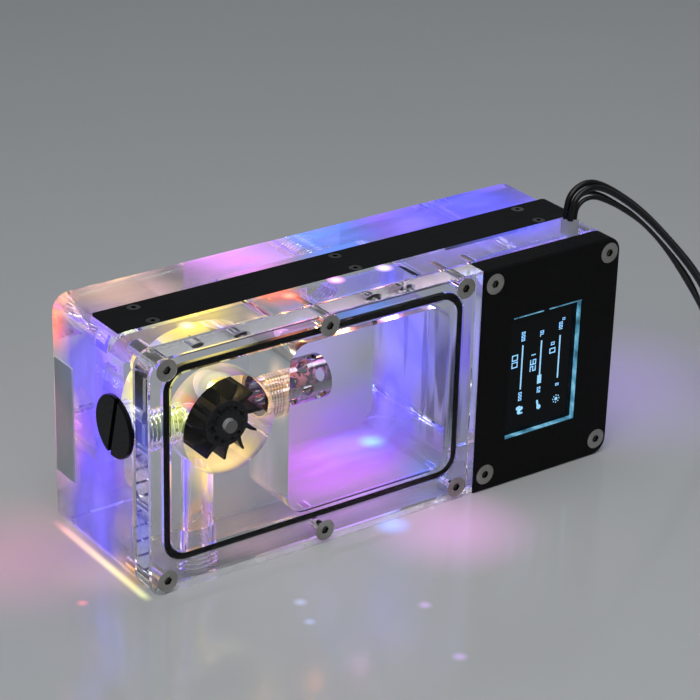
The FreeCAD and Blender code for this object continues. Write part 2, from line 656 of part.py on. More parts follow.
def makeDisplay():
    glass = newBody("glassBody")
    roundedPad(glass, "glassPad", "XZ", "windowLip", glassBox, "edgeBreak", "glassThickness")
    finish(glass, "display_glass")
    panel = newBody("panelBody")
    roundedPad(panel, "panelPad", "XZ", "windowLip + glassThickness", panelBox, "edgeBreak",
               f"{boardFront} - windowLip - glassThickness")
    finish(panel, "display_panel")


def makeControlBoard():
    board = newBody("boardBody")
    roundedPad(board, "boardPad", "XZ", boardFront, boardBox, "edgeBreak", "boardThickness")
    holes = newSketch(board, "boardHoleSketch", "XZ", boardFront)
    for number, (across, up) in enumerate(boardScrewSpots):
        circleOutline(holes, f"hole{number}", across, up, "boardScrewRadius")
    extrude(board, holes, "Pocket", "boardHoles", "boardThickness")
    finish(board, "control_board")
    screws = []
    for i, (across, up) in enumerate(boardScrewSpots):
        shank = rod(f"boardScrewShank{i}", (across, f"{boardFront} - boardScrewReach", up), "Y",
                    "boardScrewRadius", "boardThickness + boardScrewReach")
        head = rod(f"boardScrewHead{i}", (across, "coverThickness", up), "Y", "boardScrewHead",
                   "boardScrewHeadHeight")
        screws.append(joined(f"boardScrew{i}", [shank, head]))
    finish(gathered("boardScrews", screws), "board_screws")
    controller = block("controller", ("windowLeft + windowWidth / 2 - controllerSide / 2", "coverThickness",
                                      "windowFloor + controllerRise"),
                       "controllerSide", "controllerHeight", "controllerSide")
    driver = block("driver", ("windowLeft + driverWidth / 2", "coverThickness", "windowFloor + driverRise"),
                   "driverWidth", "driverHeight", "driverSide")
    header = block("header", ("socketLeft - headerWidth", "coverThickness",
                              "windowFloor + windowHeight - headerSide"),
                   "headerWidth", "headerHeight", "headerSide")
    finish(gathered("boardParts", [controller, driver, header]), "board_parts")


def makeCableSocket():
    shell = block("socketShell", ("socketLeft", f"{blockFace} + notchSlack", "blockHeight - socketDrop"),
                  "socketWidth", "socketDepth", "socketTop - blockHeight + socketDrop")
    finish(gathered("socketPiece", [shell]), "cable_socket")


def makeLightCover():
    body = newBody("stripBody")
    box = ("stripLeft", f"{blockFace} + stripBack", "stripLength", "stripWidth")
    roundedPad(body, "stripPad", "XY", "blockHeight - stripThickness", box, "stripCorner", "stripThickness")
    holes = [
        countersunkHole(f"stripHole{i}", smallScrew, (across, back, smallScrewTop), "down", "stripThickness")
        for i, (across, back) in enumerate(smallScrewSpots)
    ]
    finish(cutFrom("strip", body, joined("stripHoles", holes)), "light_cover")
    screws = [
        countersunkScrew(f"stripScrew{i}", smallScrew, (across, back, smallScrewTop), "down")
        for i, (across, back) in enumerate(smallScrewSpots)
    ]
    finish(gathered("stripScrews", screws), "light_cover_screws")


def makeLights():
    underside = "blockHeight - stripThickness - lightBoardThickness"
    board = block("lightBoard", ("stripLeft + lightGrooveRim + boardSlack",
                                 f"{stripMiddle} - lightBoardWidth / 2", underside),
                  "stripLength - 2 * lightGrooveRim - 2 * boardSlack", "lightBoardWidth",
                  "lightBoardThickness")
    finish(gathered("lightBoardPiece", [board]), "light_board")
    lamps = [
        block(f"lamp{i}", (f"lampFirst + {i} * lampPitch - lampWidth / 2", f"{stripMiddle} - lampDepth / 2",
                           f"{underside} - lampHeight"),
              "lampWidth", "lampDepth", "lampHeight")
        for i in range(int(size("lampCount")))
    ]
    finish(gathered("lamps", lamps), "lamps")


def makeStopPlug():
    axisY = f"{blockFace} + portBack"
    body = newBody("plugBody")
    shank = newSketch(body, "plugShankSketch", "YZ", "0")
    circleOutline(shank, "shank", axisY, "portRise", "portRadius - plugShankSlack")
    extrude(body, shank, "Pad", "plugShank", "plugShankLength")
    head = newSketch(body, "plugHeadSketch", "YZ", "0 - plugHeadHeight")
    circleOutline(head, "head", axisY, "portRise", "plugHeadRadius")
    disc = extrude(body, head, "Pad", "plugHead", "plugHeadHeight")
    breakEdges(body, disc, "plugBreak", lambda edge: abs(edge.BoundBox.XMax + size("plugHeadHeight")) < 1e-6
               and flatIn(edge, 0), "plugHeadBreak")
    slot = block("plugSlot", ("0 - plugHeadHeight", "0 - plugSlotWidth / 2", "0 - plugHeadRadius - 1"),
                 "plugSlotDepth", "plugSlotWidth", "2 * plugHeadRadius + 2")
    turn = doc.addObject("Part::Compound", "turnedSlot")
    turn.Links = [slot]
    turn.Placement = Placement(Vector(), Rotation(Vector(1, 0, 0), size("plugSlotTurn")))
    bind(turn, "Placement.Base.y", axisY)
    bind(turn, "Placement.Base.z", "portRise")
    finish(cutFrom("plug", body, turn), "stop_plug")
    ring = doc.addObject("Part::Torus", "plugRing")
    bind(ring, "Radius1", "portMouthRadius - plugSealSection / 2")
    bind(ring, "Radius2", "plugSealSection / 2")
    placeAt(ring, ("plugSealSection / 2", axisY, "portRise"), "X")
    finish(gathered("plugRingPiece", [ring]), "plug_seal")


def makeFlowTube():
    axisY = f"{blockFace} + portBack"
    outer = rod("tubeOuter", ("tubeStart", axisY, "portRise"), "X", "tubeRadius", "tubeEnd - tubeStart")
    collar = rod("tubeCollar", ("tubeStart", axisY, "portRise"), "X", "tubeCollarRadius",
                 "chamberLeft - tubeStart")
    cuts = [rod("tubeInner", ("tubeStart", axisY, "portRise"), "X", "tubeBoreRadius", "tubeEnd - tubeStart")]
    around = int(size("tubeHolesAround"))
    for row in range(int(size("tubeHoleRows"))):
        for step in range(around):
            angle = 180 / around * (step + row % 2 / 2)
            tilt = math.radians(angle)
            start = (f"chamberLeft + tubeHoleFirst + {row} * tubeHolePitch",
                     f"{axisY} + {2 * math.sin(tilt):.6f} * tubeRadius",
                     f"portRise - {2 * math.cos(tilt):.6f} * tubeRadius")
            cross = rod(f"tubeHole{row}{step}", start, "Z", "tubeHoleRadius", "4 * tubeRadius")
            cross.Placement.Rotation = Rotation(Vector(1, 0, 0), angle)
            cuts.append(cross)
    finish(cutFrom("tube", joined("tubeBlank", [outer, collar]), joined("tubeCuts", cuts)), "flow_tube")


def makeWheel():
    # modelled about its own axis, with y back from the front of the covers
    body = newBody("wheelBody")
    hubStart = "coverThickness + seamGap + wheelHubGap"
    hubLength = "wheelPocketDepth - 2 * wheelHubGap"
    middle = newSketch(body, "hubFaceSketch", "XZ", hubStart)
    circleOutline(middle, "face", "0", "0", "wheelFaceRadius")
    extrude(body, middle, "Pad", "hubFace", hubLength)
    hub = newSketch(body, "hubSketch", "XZ", f"{hubStart} + wheelBladeInset / 2")
    circleOutline(hub, "hub", "0", "0", "wheelHubRadius")
    extrude(body, hub, "Pad", "hub", f"{hubLength} - wheelBladeInset")
    blade = newSketch(body, "bladeSketch", "XZ", f"{hubStart} + wheelBladeInset")
    root, shift, reach = size("bladeRootHalf"), size("bladeTipShift"), size("bladeTipReach")
    tip, sunk = size("bladeTipHalf"), size("bladeRootReach")
    corners = [Vector(-root, sunk, 0), Vector(root, sunk, 0),
               Vector(shift + tip, reach, 0), Vector(shift - tip, reach, 0)]
    footLine = blade.addGeometry(Part.LineSegment(corners[0], corners[1]))
    tipLine = blade.addGeometry(Part.LineSegment(corners[2], corners[3]))

    def bowed(start, end, radius):
        chord = end - start
        across = Vector(-chord.y, chord.x, 0).normalize()
        sag = radius - math.sqrt(radius ** 2 - chord.Length ** 2 / 4)
        return Part.Arc(start, (start + end) / 2 - across * sag, end)

    hollow = blade.addGeometry(bowed(corners[1], corners[2], size("bladeFrontBow")))
    roundFace = blade.addGeometry(bowed(corners[0], corners[3], size("bladeBackBow")))
    ends = {}
    for arc in (hollow, roundFace):
        first = blade.getPoint(arc, 1)
        ends[arc] = (1, 2) if abs(first.y - sunk) < 1e-6 else (2, 1)
    blade.addConstraint(Sketcher.Constraint("Coincident", footLine, 2, hollow, ends[hollow][0]))
    blade.addConstraint(Sketcher.Constraint("Coincident", tipLine, 1, hollow, ends[hollow][1]))
    blade.addConstraint(Sketcher.Constraint("Coincident", footLine, 1, roundFace, ends[roundFace][0]))
    blade.addConstraint(Sketcher.Constraint("Coincident", tipLine, 2, roundFace, ends[roundFace][1]))
    blade.addConstraint(Sketcher.Constraint("Horizontal", tipLine))
    blade.addConstraint(Sketcher.Constraint("Symmetric", footLine, 1, footLine, 2, -2))
    addSize(blade, Sketcher.Constraint("DistanceX", footLine, 1, footLine, 2, 2 * root), "root",
            "2 * bladeRootHalf")
    addSize(blade, Sketcher.Constraint("DistanceY", -1, 1, footLine, 1, sunk), "sunk", "bladeRootReach")
    addSize(blade, Sketcher.Constraint("DistanceX", tipLine, 2, tipLine, 1, 2 * tip), "tip",
            "2 * bladeTipHalf")
    addSize(blade, Sketcher.Constraint("DistanceY", -1, 1, tipLine, 1, reach), "reach", "bladeTipReach")
    addSize(blade, Sketcher.Constraint("DistanceX", -1, 1, tipLine, 2, shift - tip), "shift",
            "bladeTipShift - bladeTipHalf")
    addSize(blade, Sketcher.Constraint("Radius", hollow, size("bladeFrontBow")), "hollowBow", "bladeFrontBow")
    addSize(blade, Sketcher.Constraint("Radius", roundFace, size("bladeBackBow")), "roundBow", "bladeBackBow")
    vane = extrude(body, blade, "Pad", "blade", f"{hubLength} - 2 * wheelBladeInset")
    pattern = body.newObject("PartDesign::PolarPattern", "blades")
    pattern.Originals = [vane]
    pattern.Axis = (blade, ["N_Axis"])
    pattern.Angle = 360
    bind(pattern, "Occurrences", "bladeCount")
    body.Tip = pattern
    recess = newSketch(body, "recessSketch", "XZ", hubStart)
    circleOutline(recess, "recess", "0", "wheelFaceRadius + hubHoleRadius / 2", "hubHoleRadius")
    dimple = extrude(body, recess, "Pocket", "recess", "wheelBladeInset / 2 + hubHoleDepth")
    ring = body.newObject("PartDesign::PolarPattern", "recesses")
    ring.Originals = [dimple]
    ring.Axis = (recess, ["N_Axis"])
    ring.Angle = 360
    bind(ring, "Occurrences", "bladeCount")
    body.Tip = ring
    bore(body, "wheelBore", "XZ", hubStart, "0", "0", "shaftRadius + shaftClearance", hubLength)
    finish(body, "flow_wheel")
    bind(body, "Placement.Base.x", "wheelAcross - blockLength / 2")
    bind(body, "Placement.Base.z", "wheelRise")
    shaft = rod("shaft", ("wheelAcross", "coverThickness - shaftFrontSeat", "wheelRise"), "Y", "shaftRadius",
                "shaftFrontSeat + seamGap + wheelPocketDepth + shaftBackSeat")
    finish(gathered("shaftPiece", [shaft]), "wheel_shaft")


def makeNamePlate():
    body = newBody("plateBody")
    box = (f"{blockFace} + plateBack", "plateFloor", "plateWidth", "plateHeight")
    roundedPad(body, "platePad", "YZ", "0 - plateThickness", box, "edgeBreak", "plateThickness")
    finish(body, "name_plate")


# The four leads and the cable that they join, put away in a coil. These pieces are placed in the
# row's own frame. Each stretch is straight runs joined by arcs as large as the runs allow. A lead's
# points are counted first from the middle of the socket's top, then from the sleeve's near end.

arcShare = 0.45
leadRoutes = {
    "lead_1": (
        "thickLeadRadius",
        [(-0.95, 0.8, 0), (-1.15, 0.8, 5.1), (2.15, 0.85, 8.9), (8.15, 0.95, 9.7), (17.05, 1.05, 4.8),
          (29.05, 1.25, -4.2), (42.05, 1.45, -17), (54.05, 1.75, -29.8), (63.05, 2.35, -43.4),
          (71.05, 3.15, -58.9)],
        [(-10.5, 0.8, 3.7), (-5.5, 0.95, 0.95), (0, 0.95, 0.95)],
    ),
    "lead_2": (
        "thickLeadRadius",
        [(-0.95, -1.1, 0), (-0.65, -1.1, 4.8), (2.95, -1.05, 8.2), (8.55, -1, 8.6), (17.05, -0.85, 3.9),
          (29.05, -0.65, -5.4), (42.05, -0.45, -18.6), (53.55, -0.15, -31.8), (62.05, 0.45, -44.9),
          (69.55, 1.25, -59.5)],
        [(-11.7, -1.2, 4), (-6, -0.95, 0.95), (0, -0.95, 0.95)],
    ),
    "lead_3": (
        "thinLeadRadius",
        [(0.85, 0.65, 0), (0.87, 0.65, 2.7), (2.1, 0.7, 4.95), (4.3, 0.85, 6.2), (7.6, 1.05, 6.3),
          (12.6, 1.7, 4.2), (18.9, 2.45, 0.1), (27.55, 2.85, -5.8), (40.55, 3.05, -18.4),
          (53.05, 3.25, -32.4), (60.55, 3.25, -46.4), (68.05, 3.35, -61.9)],
        [(-13, 0.7, 1.9), (-6.5, 0.75, -1.05), (0, 0.75, -1.05)],
    ),
    "lead_4": (
        "thinLeadRadius",
        [(0.95, -0.95, 0), (0.97, -0.95, 2.5), (2.2, -1.15, 4.6), (4.3, -1.4, 5.75), (7.4, -1.7, 5.75),
          (12.2, -2, 3.4), (17.55, -2.15, 0.2), (27.05, -2.25, -6.8), (36.55, -2.25, -16.8),
          (45.35, -2.05, -28.4), (54.05, -1.45, -40.4), (62.55, -0.25, -53.9)],
        [(-15.4, -1.8, 4.5), (-7, -0.8, -1.05), (0, -0.75, -1.05)],
    ),
}


def roundedPath(points):
    radii = []
    edges = []
    here = points[0]
    for before, corner, after in zip(points, points[1:], points[2:]):
        back, ahead = before - corner, after - corner
        turn = math.pi - back.getAngle(ahead)
        reach = arcShare * min(back.Length, ahead.Length)
        start, end = corner + back.normalize() * reach, corner + ahead.normalize() * reach
        radius = reach / math.tan(turn / 2)
        radii.append(radius)
        middle = corner + (back + ahead).normalize() * (math.hypot(radius, reach) - radius)
        edges += [Part.LineSegment(here, start).toShape(), Part.Arc(start, middle, end).toShape()]
        here = end
    edges.append(Part.LineSegment(here, points[-1]).toShape())
    return Part.Wire(edges), radii


def cordPiece(name, points, radius):
    path, radii = roundedPath(points)
    section = Part.Wire(Part.makeCircle(radius, points[0], (points[1] - points[0]).normalize()))
    solid = path.makePipeShell([section], True, False)
    ratio = solid.Volume / (math.pi * radius ** 2 * path.Length)
    least = min(radii, default=math.inf)
    print(f"{name:12s} length {path.Length:7.1f} least radius {least:5.1f} volume ratio {ratio:.4f}")
    item = doc.addObject("Part::Feature", name + "Sweep")
    item.Shape = solid
    keep(item, name)


def makeLeads():
    socketMiddle = Vector(size("socketLeft") + size("socketWidth") / 2 - size("blockLength") / 2,
                          (size("seamGap") + size("coverThickness") - size("blockDepth")) / 2
                          + size("notchSlack") + size("socketDepth") / 2, size("socketTop"))
    sleeveStart = Vector(size("sleeveAcross"), -size("sleeveFront"), size("sleeveRadius"))
    for name, (radius, near, far) in leadRoutes.items():
        points = [socketMiddle + Vector(*offset) for offset in near]
        points += [sleeveStart + Vector(*offset) for offset in far]
        cordPiece(name, points, size(radius))


def makeCable():
    front = "0 - sleeveFront"
    sleeveStart = ("sleeveAcross", front, "sleeveRadius")
    keep(rod("sleeve", sleeveStart, "X", "sleeveRadius", "sleeveLength"), "lead_sleeve")
    radius, lift = size("cableRadius"), size("tieThickness") + size("cableRadius")
    sleeveEnd = size("sleeveAcross") + size("sleeveLength")
    coilMiddle = Vector(sleeveEnd + size("coilLead"), size("coilOuter") - radius - size("sleeveFront"), 0)
    cordPiece("cable_run", [Vector(sleeveEnd, -size("sleeveFront"), lift),
                            Vector(coilMiddle.x, -size("sleeveFront"), lift)], radius)
    top = "tieThickness + coilHeight"
    middle = ("sleeveAcross + sleeveLength + coilLead", "coilOuter - cableRadius - sleeveFront")
    low = rod("coilLow", (*middle, "tieThickness"), "Z", "coilOuter", "2 * cableRadius")
    high = cone("coilHigh", (*middle, "tieThickness + 2 * cableRadius"), "Z", "coilOuter",
                "coilOuter - cableRadius", "coilHeight - 2 * cableRadius")
    eye = rod("coilEye", (*middle, "0"), "Z", "coilInner", f"{top} + tieThickness")
    coil = keep(cutFrom("coil", joined("coilTurns", [low, high]), eye), "cable_coil")
    hoop = block("tieHoop", (f"{middle[0]} + coilInner - tieThickness", f"{middle[1]} - tieWidth / 2", "0"),
                 "coilOuter - coilInner + 2 * tieThickness", "tieWidth", f"{top} + tieThickness")
    keep(cutFrom("tie", hoop, coil), "cable_tie")
    meanRadius = (size("coilInner") + size("coilOuter")) / 2
    over = size("tieThickness") + size("coilHeight") - radius
    rest = size("jackHeight") / 2
    tail = [Vector(0, -meanRadius, over), Vector(size("tailTop"), -meanRadius, over),
            Vector(size("tailFoot"), -meanRadius, rest + radius / 2),
            Vector(size("tailLength"), -meanRadius, rest)]
    points = [Vector(coilMiddle.x, coilMiddle.y, 0) + offset for offset in tail]
    cordPiece("cable_tail", points, radius)
    keep(block("jack", (f"{middle[0]} + tailLength",
                        f"{middle[1]} - coilInner / 2 - coilOuter / 2 - jackWidth / 2", "0"),
               "jackLength", "jackWidth", "jackHeight"), "cable_jack")


makeMainBlock()
makeFrontCover()
makeDisplayCover()
makeCoverScrews()
makeCoverSeal()
makeDisplay()
makeControlBoard()
makeCableSocket()
makeLightCover()
makeLights()
makeStopPlug()
makeFlowTube()
makeWheel()
makeNamePlate()
makeLeads()
makeCable()

doc.recompute()
for item in doc.Objects:
    if "Invalid" in item.State or "Error" in item.State:
        raise RuntimeError(f"{item.Name} failed: {item.State}")

os.makedirs("parts", exist_ok=True)
for name, item in nodes.items():
    shape = item.Shape
    if shape.isNull() or not shape.isValid() or not shape.Solids:
        raise RuntimeError(f"{name} has no sound solid")
    shape.exportStep(f"parts/{name}.step")
    box = shape.BoundBox
    print(f"{name:22s} solids {len(shape.Solids):2d} volume {shape.Volume:10.1f}  "
          f"x {box.XMin:7.2f} {box.XMax:7.2f}  y {box.YMin:7.2f} {box.YMax:7.2f}  "
          f"z {box.ZMin:6.2f} {box.ZMax:6.2f}")
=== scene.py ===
import bpy
import bmesh
import math
from mathutils import Matrix, Vector


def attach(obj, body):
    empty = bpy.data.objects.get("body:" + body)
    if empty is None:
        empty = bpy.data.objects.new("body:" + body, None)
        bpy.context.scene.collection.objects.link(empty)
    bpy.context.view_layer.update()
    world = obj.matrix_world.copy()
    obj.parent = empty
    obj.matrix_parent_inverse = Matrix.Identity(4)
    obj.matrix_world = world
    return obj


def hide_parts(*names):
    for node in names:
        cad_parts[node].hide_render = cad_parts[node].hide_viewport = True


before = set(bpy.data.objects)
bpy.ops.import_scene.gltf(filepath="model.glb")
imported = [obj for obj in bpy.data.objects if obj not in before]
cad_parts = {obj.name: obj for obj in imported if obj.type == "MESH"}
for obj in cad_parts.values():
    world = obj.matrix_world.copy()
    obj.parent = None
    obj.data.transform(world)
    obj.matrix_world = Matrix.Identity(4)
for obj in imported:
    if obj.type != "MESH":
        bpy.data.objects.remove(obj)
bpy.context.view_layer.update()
mm = 0.001
housing = "housing"
halfLength = 79.25  # the part's middle from its left end, in millimetres
print("stage: frame loaded")


def point(place):
    return Vector(place) * mm


# Material nodes

def newMaterial(name):
    material = bpy.data.materials.new(name)
    material.use_nodes = True
    material.node_tree.nodes.clear()
    return material


def addNode(material, kind, values=None, **settings):
    node = material.node_tree.nodes.new("ShaderNode" + kind)
    for key, value in settings.items():
        setattr(node, key, value)
    for key, value in (values or {}).items():
        if isinstance(value, bpy.types.NodeSocket):
            material.node_tree.links.new(value, node.inputs[key])
        else:
            node.inputs[key].default_value = value
    return node


def objectPoint(material):
    return addNode(material, "TexCoord").outputs["Object"]


def stretched(material, scale):
    return addNode(material, "Mapping", {"Vector": objectPoint(material), "Scale": scale}).outputs["Vector"]


def noise(material, vector, scale, detail=3.0, roughness=0.5):
    values = {"Vector": vector, "Scale": scale, "Detail": detail, "Roughness": roughness}
    return addNode(material, "TexNoise", values).outputs["Fac"]


def mapRange(material, value, low, high, newLow, newHigh, smooth=False):
    values = {"Value": value, "From Min": low, "From Max": high, "To Min": newLow, "To Max": newHigh}
    style = "SMOOTHSTEP" if smooth else "LINEAR"
    return addNode(material, "MapRange", values, interpolation_type=style).outputs["Result"]


def maths(material, operation, first, second=0.0):
    return addNode(material, "Math", {0: first, 1: second}, operation=operation).outputs[0]


def vectorMath(material, operation, first, second):
    return addNode(material, "VectorMath", {0: first, 1: second}, operation=operation).outputs["Vector"]


def scaled(material, vector, amount):
    values = {0: vector, "Scale": amount}
    return addNode(material, "VectorMath", values, operation="SCALE").outputs["Vector"]


def distance(material, first, second):
    return addNode(material, "VectorMath", {0: first, 1: second}, operation="DISTANCE").outputs["Value"]


def coordinates(material):
    return addNode(material, "SeparateXYZ", {"Vector": objectPoint(material)}).outputs


def ramp(material, value, stops, constant=False):
    node = addNode(material, "ValToRGB", {"Fac": value})
    elements = node.color_ramp.elements
    node.color_ramp.interpolation = "CONSTANT" if constant else "LINEAR"
    while len(elements) < len(stops):
        elements.new(0.5)
    for element, (place, colour) in zip(elements, stops):
        element.position = place
        element.color = (*colour, 1.0)
    return node.outputs["Color"]


def bump(material, height, strength, distance=0.0001):
    values = {"Height": height, "Strength": strength, "Distance": distance}
    return addNode(material, "Bump", values).outputs["Normal"]


def principled(material, values):
    shader = addNode(material, "BsdfPrincipled", values)
    output = addNode(material, "OutputMaterial", {"Surface": shader.outputs["BSDF"]})
    return shader, output


# Painted light of the lamps, as it shows in the acrylic: soft glowing spots at a place, of a reach and a
# colour, drawn as emission

glow = {
    "strength": 0.62,
    "paintedTint": 1.7,
    "darkest": (0.1, 0.1, 0.1),
    "streaks": (35, 120, 60),
    "spots": [
        ((-80, -12, 0), 9, (1.00, 0.50, 0.08)),
        ((-80, 4, 54), 24, (0.20, 0.14, 0.95)),
        ((-80, 0, 30), 20, (0.16, 0.12, 0.95)),
        ((-80, 4, 10), 22, (0.15, 0.12, 0.90)),
        ((-80, -21, 46), 16, (0.07, 0.08, 0.50)),
        ((-80, -21, 20), 16, (0.07, 0.08, 0.50)),
        ((-80, 25, 34), 20, (0.62, 0.22, 0.42)),
        ((-80, 25, 62), 12, (0.95, 0.22, 0.16)),
        ((-54, 2, 52), 22, (0.80, 0.66, 0.26)),
        ((-50, -10, 30), 16, (1.30, 1.00, 0.42)),
        ((-63, -8, 33), 8, (0.40, 0.26, 0.90)),
        ((-68, -9, 49), 12, (0.66, 0.80, 0.12)),
        ((-59, -9, 14), 7, (1.20, 0.55, 0.16)),
        ((-34, -15, 10), 6, (1.10, 0.85, 0.20)),
        ((-42, 4, 22), 18, (0.30, 0.20, 0.26)),
        ((-40, -6, 0), 18, (0.48, 0.20, 0.36)),
        ((-54, -8, 70), 18, (0.95, 0.78, 0.24)),
        ((-62, 18, 70), 22, (0.50, 0.34, 0.26)),
        ((-38, 10, 4), 20, (0.55, 0.30, 0.20)),
        ((-28, -8, 70), 10, (1.00, 0.30, 0.16)),
        ((-22, 22, 70), 24, (0.58, 0.24, 0.60)),
        ((-36, -8, 46), 12, (1.30, 0.80, 0.34)),
        ((-8, 0, 8), 31, (0.76, 0.32, 1.00)),
        ((12, 8, 10), 22, (0.36, 0.20, 0.95)),
        ((13, 6, 9), 5.5, (0.05, 0.75, 0.95)),
        ((24, -4, 40), 24, (0.17, 0.16, 0.66)),
        ((24, 6, 20), 18, (0.20, 0.18, 0.80)),
        ((26, -6, 32), 5, (0.10, 0.60, 0.90)),
        ((22, 12, 50), 20, (0.16, 0.14, 0.60)),
        ((0, 17, 40), 26, (0.17, 0.13, 0.30)),
        ((8, 20, 70), 20, (0.20, 0.36, 0.98)),
        ((30, 14, 70), 20, (0.34, 0.24, 0.95)),
        ((56, 10, 70), 34, (0.18, 0.20, 1.00)),
        ((60, 22, 30), 34, (0.18, 0.12, 0.80)),
        ((16, -16, 1), 14, (0.20, 0.32, 1.00)),
        ((60, 0, 0), 30, (0.30, 0.10, 0.70)),
        # painted reflections: bright images of the lamps seen in the acrylic
        ((-59, -11.4, 70), 3.4, (3.0, 2.7, 1.6)),
        ((-25.5, -9.9, 70), 3.0, (3.6, 0.8, 0.4)),
        ((-8.8, -7.7, 70), 3.2, (3.6, 1.8, 3.4)),
        ((7.2, -8, 70), 3.2, (3.0, 2.4, 4.0)),
    ],
}


def paintedLightSpots(material, spots, share=1.0):
    # painted light: each spot glows in its colour, fading out to its reach
    place = objectPoint(material)
    total = None
    for centre, reach, colour in spots:
        away = distance(material, place, point(centre))
        near = mapRange(material, away, reach * mm, 0.0, 0.0, share, smooth=True)
        lit = scaled(material, colour, near)
        total = lit if total is None else vectorMath(material, "ADD", total, lit)
    return total


def paintedGlowColour(material, share, rightmost):
    # painted glow: only the spots to the left of the rightmost place, in millimetres, made patchy by a
    # stretched noise
    streaks = noise(material, stretched(material, glow["streaks"]), 1.0, 2.0)
    patchy = mapRange(material, streaks, 0.35, 0.68, 0.7, 1.25)
    spots = [spot for spot in glow["spots"] if spot[0][0] < rightmost]
    return scaled(material, paintedLightSpots(material, spots, share), patchy)


def tintByPaintedGlow(material, light, tint, amount):
    # painted tint: the acrylic's base colour takes on the hue of the painted glow, as light passing through a
    # lit face would
    parts = addNode(material, "SeparateXYZ", {"Vector": light}).outputs
    most = maths(material, "MAXIMUM", maths(material, "MAXIMUM", parts[0], parts[1]), parts[2])
    held = scaled(material, vectorMath(material, "SUBTRACT", most, light), amount)
    colour = vectorMath(material, "SUBTRACT", tint[:3], held)
    return vectorMath(material, "MAXIMUM", colour, glow["darkest"])


def paintedDarkStreaks(material, colour, streaks):
    # painted shade: dark upright bands in one region, standing for the far dark parts that show bent through
    # the acrylic
    reach = streaks["reach"] * mm
    fine = noise(material, stretched(material, streaks["scale"]), 1.0, 1.5)
    away = distance(material, objectPoint(material), point(streaks["place"]))
    near = mapRange(material, away, reach, reach * 0.6, 0.0, 1.0)
    dark = mapRange(material, fine, 0.50, 0.60, 0.0, streaks["depth"], smooth=True)
    kept = maths(material, "SUBTRACT", 1.0, maths(material, "MULTIPLY", dark, near))
    return scaled(material, colour, kept)


acrylic = {"ior": 1.49, "tint": (0.97, 0.985, 1.0, 1.0), "openness": 0.85,
           "streaks": {"place": (25, -6, 38), "reach": 26, "scale": (240, 240, 22), "depth": 0.8}}


def fadePaintedGlowIn(material, light, axis, start, end):
    # the painted glow, faded in from a limit inwards
    share = mapRange(material, coordinates(material)[axis], start * mm, end * mm, 0.0, 1.0)
    return scaled(material, light, share)


def passShadowRays(material, shader, output, openness):
    # the room's light reaches what lies inside
    clear = addNode(material, "BsdfTransparent").outputs["BSDF"]
    ray = addNode(material, "LightPath").outputs["Is Shadow Ray"]
    share = maths(material, "MULTIPLY", ray, openness)
    mixed = addNode(material, "MixShader", {0: share, 1: shader.outputs["BSDF"], 2: clear})
    material.node_tree.links.new(mixed.outputs[0], output.inputs["Surface"])


def clearMaterial(name, rightmost, limits, marks, shine):
    material = newMaterial(name)
    place = objectPoint(material)
    wander = noise(material, stretched(material, (90, 90, 260)), 1.0, 2.0)
    # painted glow: emission in the acrylic standing for the lamps' light
    light = paintedGlowColour(material, 1.0, rightmost)
    for axis, start, end in limits:  # nothing shines on the polished faces in front
        light = fadePaintedGlowIn(material, light, axis, start, end)
    colour = tintByPaintedGlow(material, light, acrylic["tint"], glow["paintedTint"])
    values = {
        # painted tint and painted dark streaks in the base colour
        "Base Color": paintedDarkStreaks(material, colour, acrylic["streaks"]),
        "Emission Color": light, "Emission Strength": glow["strength"],
        "Roughness": mapRange(material, noise(material, place, 400, 3.0), 0.4, 0.8, 0.0, 0.05),
        "IOR": acrylic["ior"],
        "Specular Tint": (shine, shine, shine, 1.0),
        "Transmission Weight": 1.0,
        "Normal": bump(material, wander, marks, 0.0004),
    }
    shader, output = principled(material, values)
    passShadowRays(material, shader, output, acrylic["openness"])
    return material


def airMaterial(name):
    # a pocket of air in the acrylic, such as the groove of a thread
    material = newMaterial(name)
    streaks = noise(material, objectPoint(material), 900, 2.0)
    shader, output = principled(material, {
        "Base Color": (1.0, 1.0, 1.0, 1.0), "Roughness": mapRange(material, streaks, 0.3, 0.7, 0.02, 0.12),
        "IOR": 1 / acrylic["ior"], "Transmission Weight": 1.0,
        # painted glow, at half strength, from the spots left of x = -30 mm
        "Emission Color": paintedGlowColour(material, 0.5, -30), "Emission Strength": glow["strength"],
    })
    passShadowRays(material, shader, output, 1.0)
    return material


def plainMaterial(name, colour, roughness, metallic=0.0, grain=600, wear=0.25, stretch=(1, 1, 1),
                  height=0.15, extra=None):
    # colour and gloss that vary a little, with a fine grain
    material = newMaterial(name)
    vector = stretched(material, stretch)
    fine = noise(material, vector, grain, 4.0, 0.6)
    broad = noise(material, objectPoint(material), 60, 3.0)
    dark = tuple(c * (1 - wear) for c in colour)
    light = tuple(min(1.0, c * (1 + wear)) for c in colour)
    values = {
        "Base Color": ramp(material, broad, [(0.3, dark), (0.7, light)]),
        "Roughness": mapRange(material, fine, 0.3, 0.7, roughness * 0.8, roughness * 1.2),
        "Metallic": metallic,
        "Normal": bump(material, fine, height, 0.00005),
    }
    values.update(extra or {})
    principled(material, values)
    return material


def lampMaterial(name, strength):
    material = newMaterial(name)
    share = mapRange(material, coordinates(material)["X"], -0.084, 0.084, 0.0, 1.0)
    colours = [(0.35, 0.25, 1.0), (0.9, 0.8, 0.3), (1.0, 0.75, 0.4), (1.0, 0.45, 0.12), (1.0, 0.3, 0.12),
               (1.0, 0.35, 0.8), (0.8, 0.6, 1.0), (0.5, 0.4, 1.0), (0.25, 0.25, 1.0), (0.2, 0.3, 1.0)]
    colour = ramp(material, share, [(i / len(colours), c) for i, c in enumerate(colours)], constant=True)
    principled(material, {"Base Color": colour, "Roughness": 0.3, "Emission Color": colour,
                          "Emission Strength": strength})
    return material


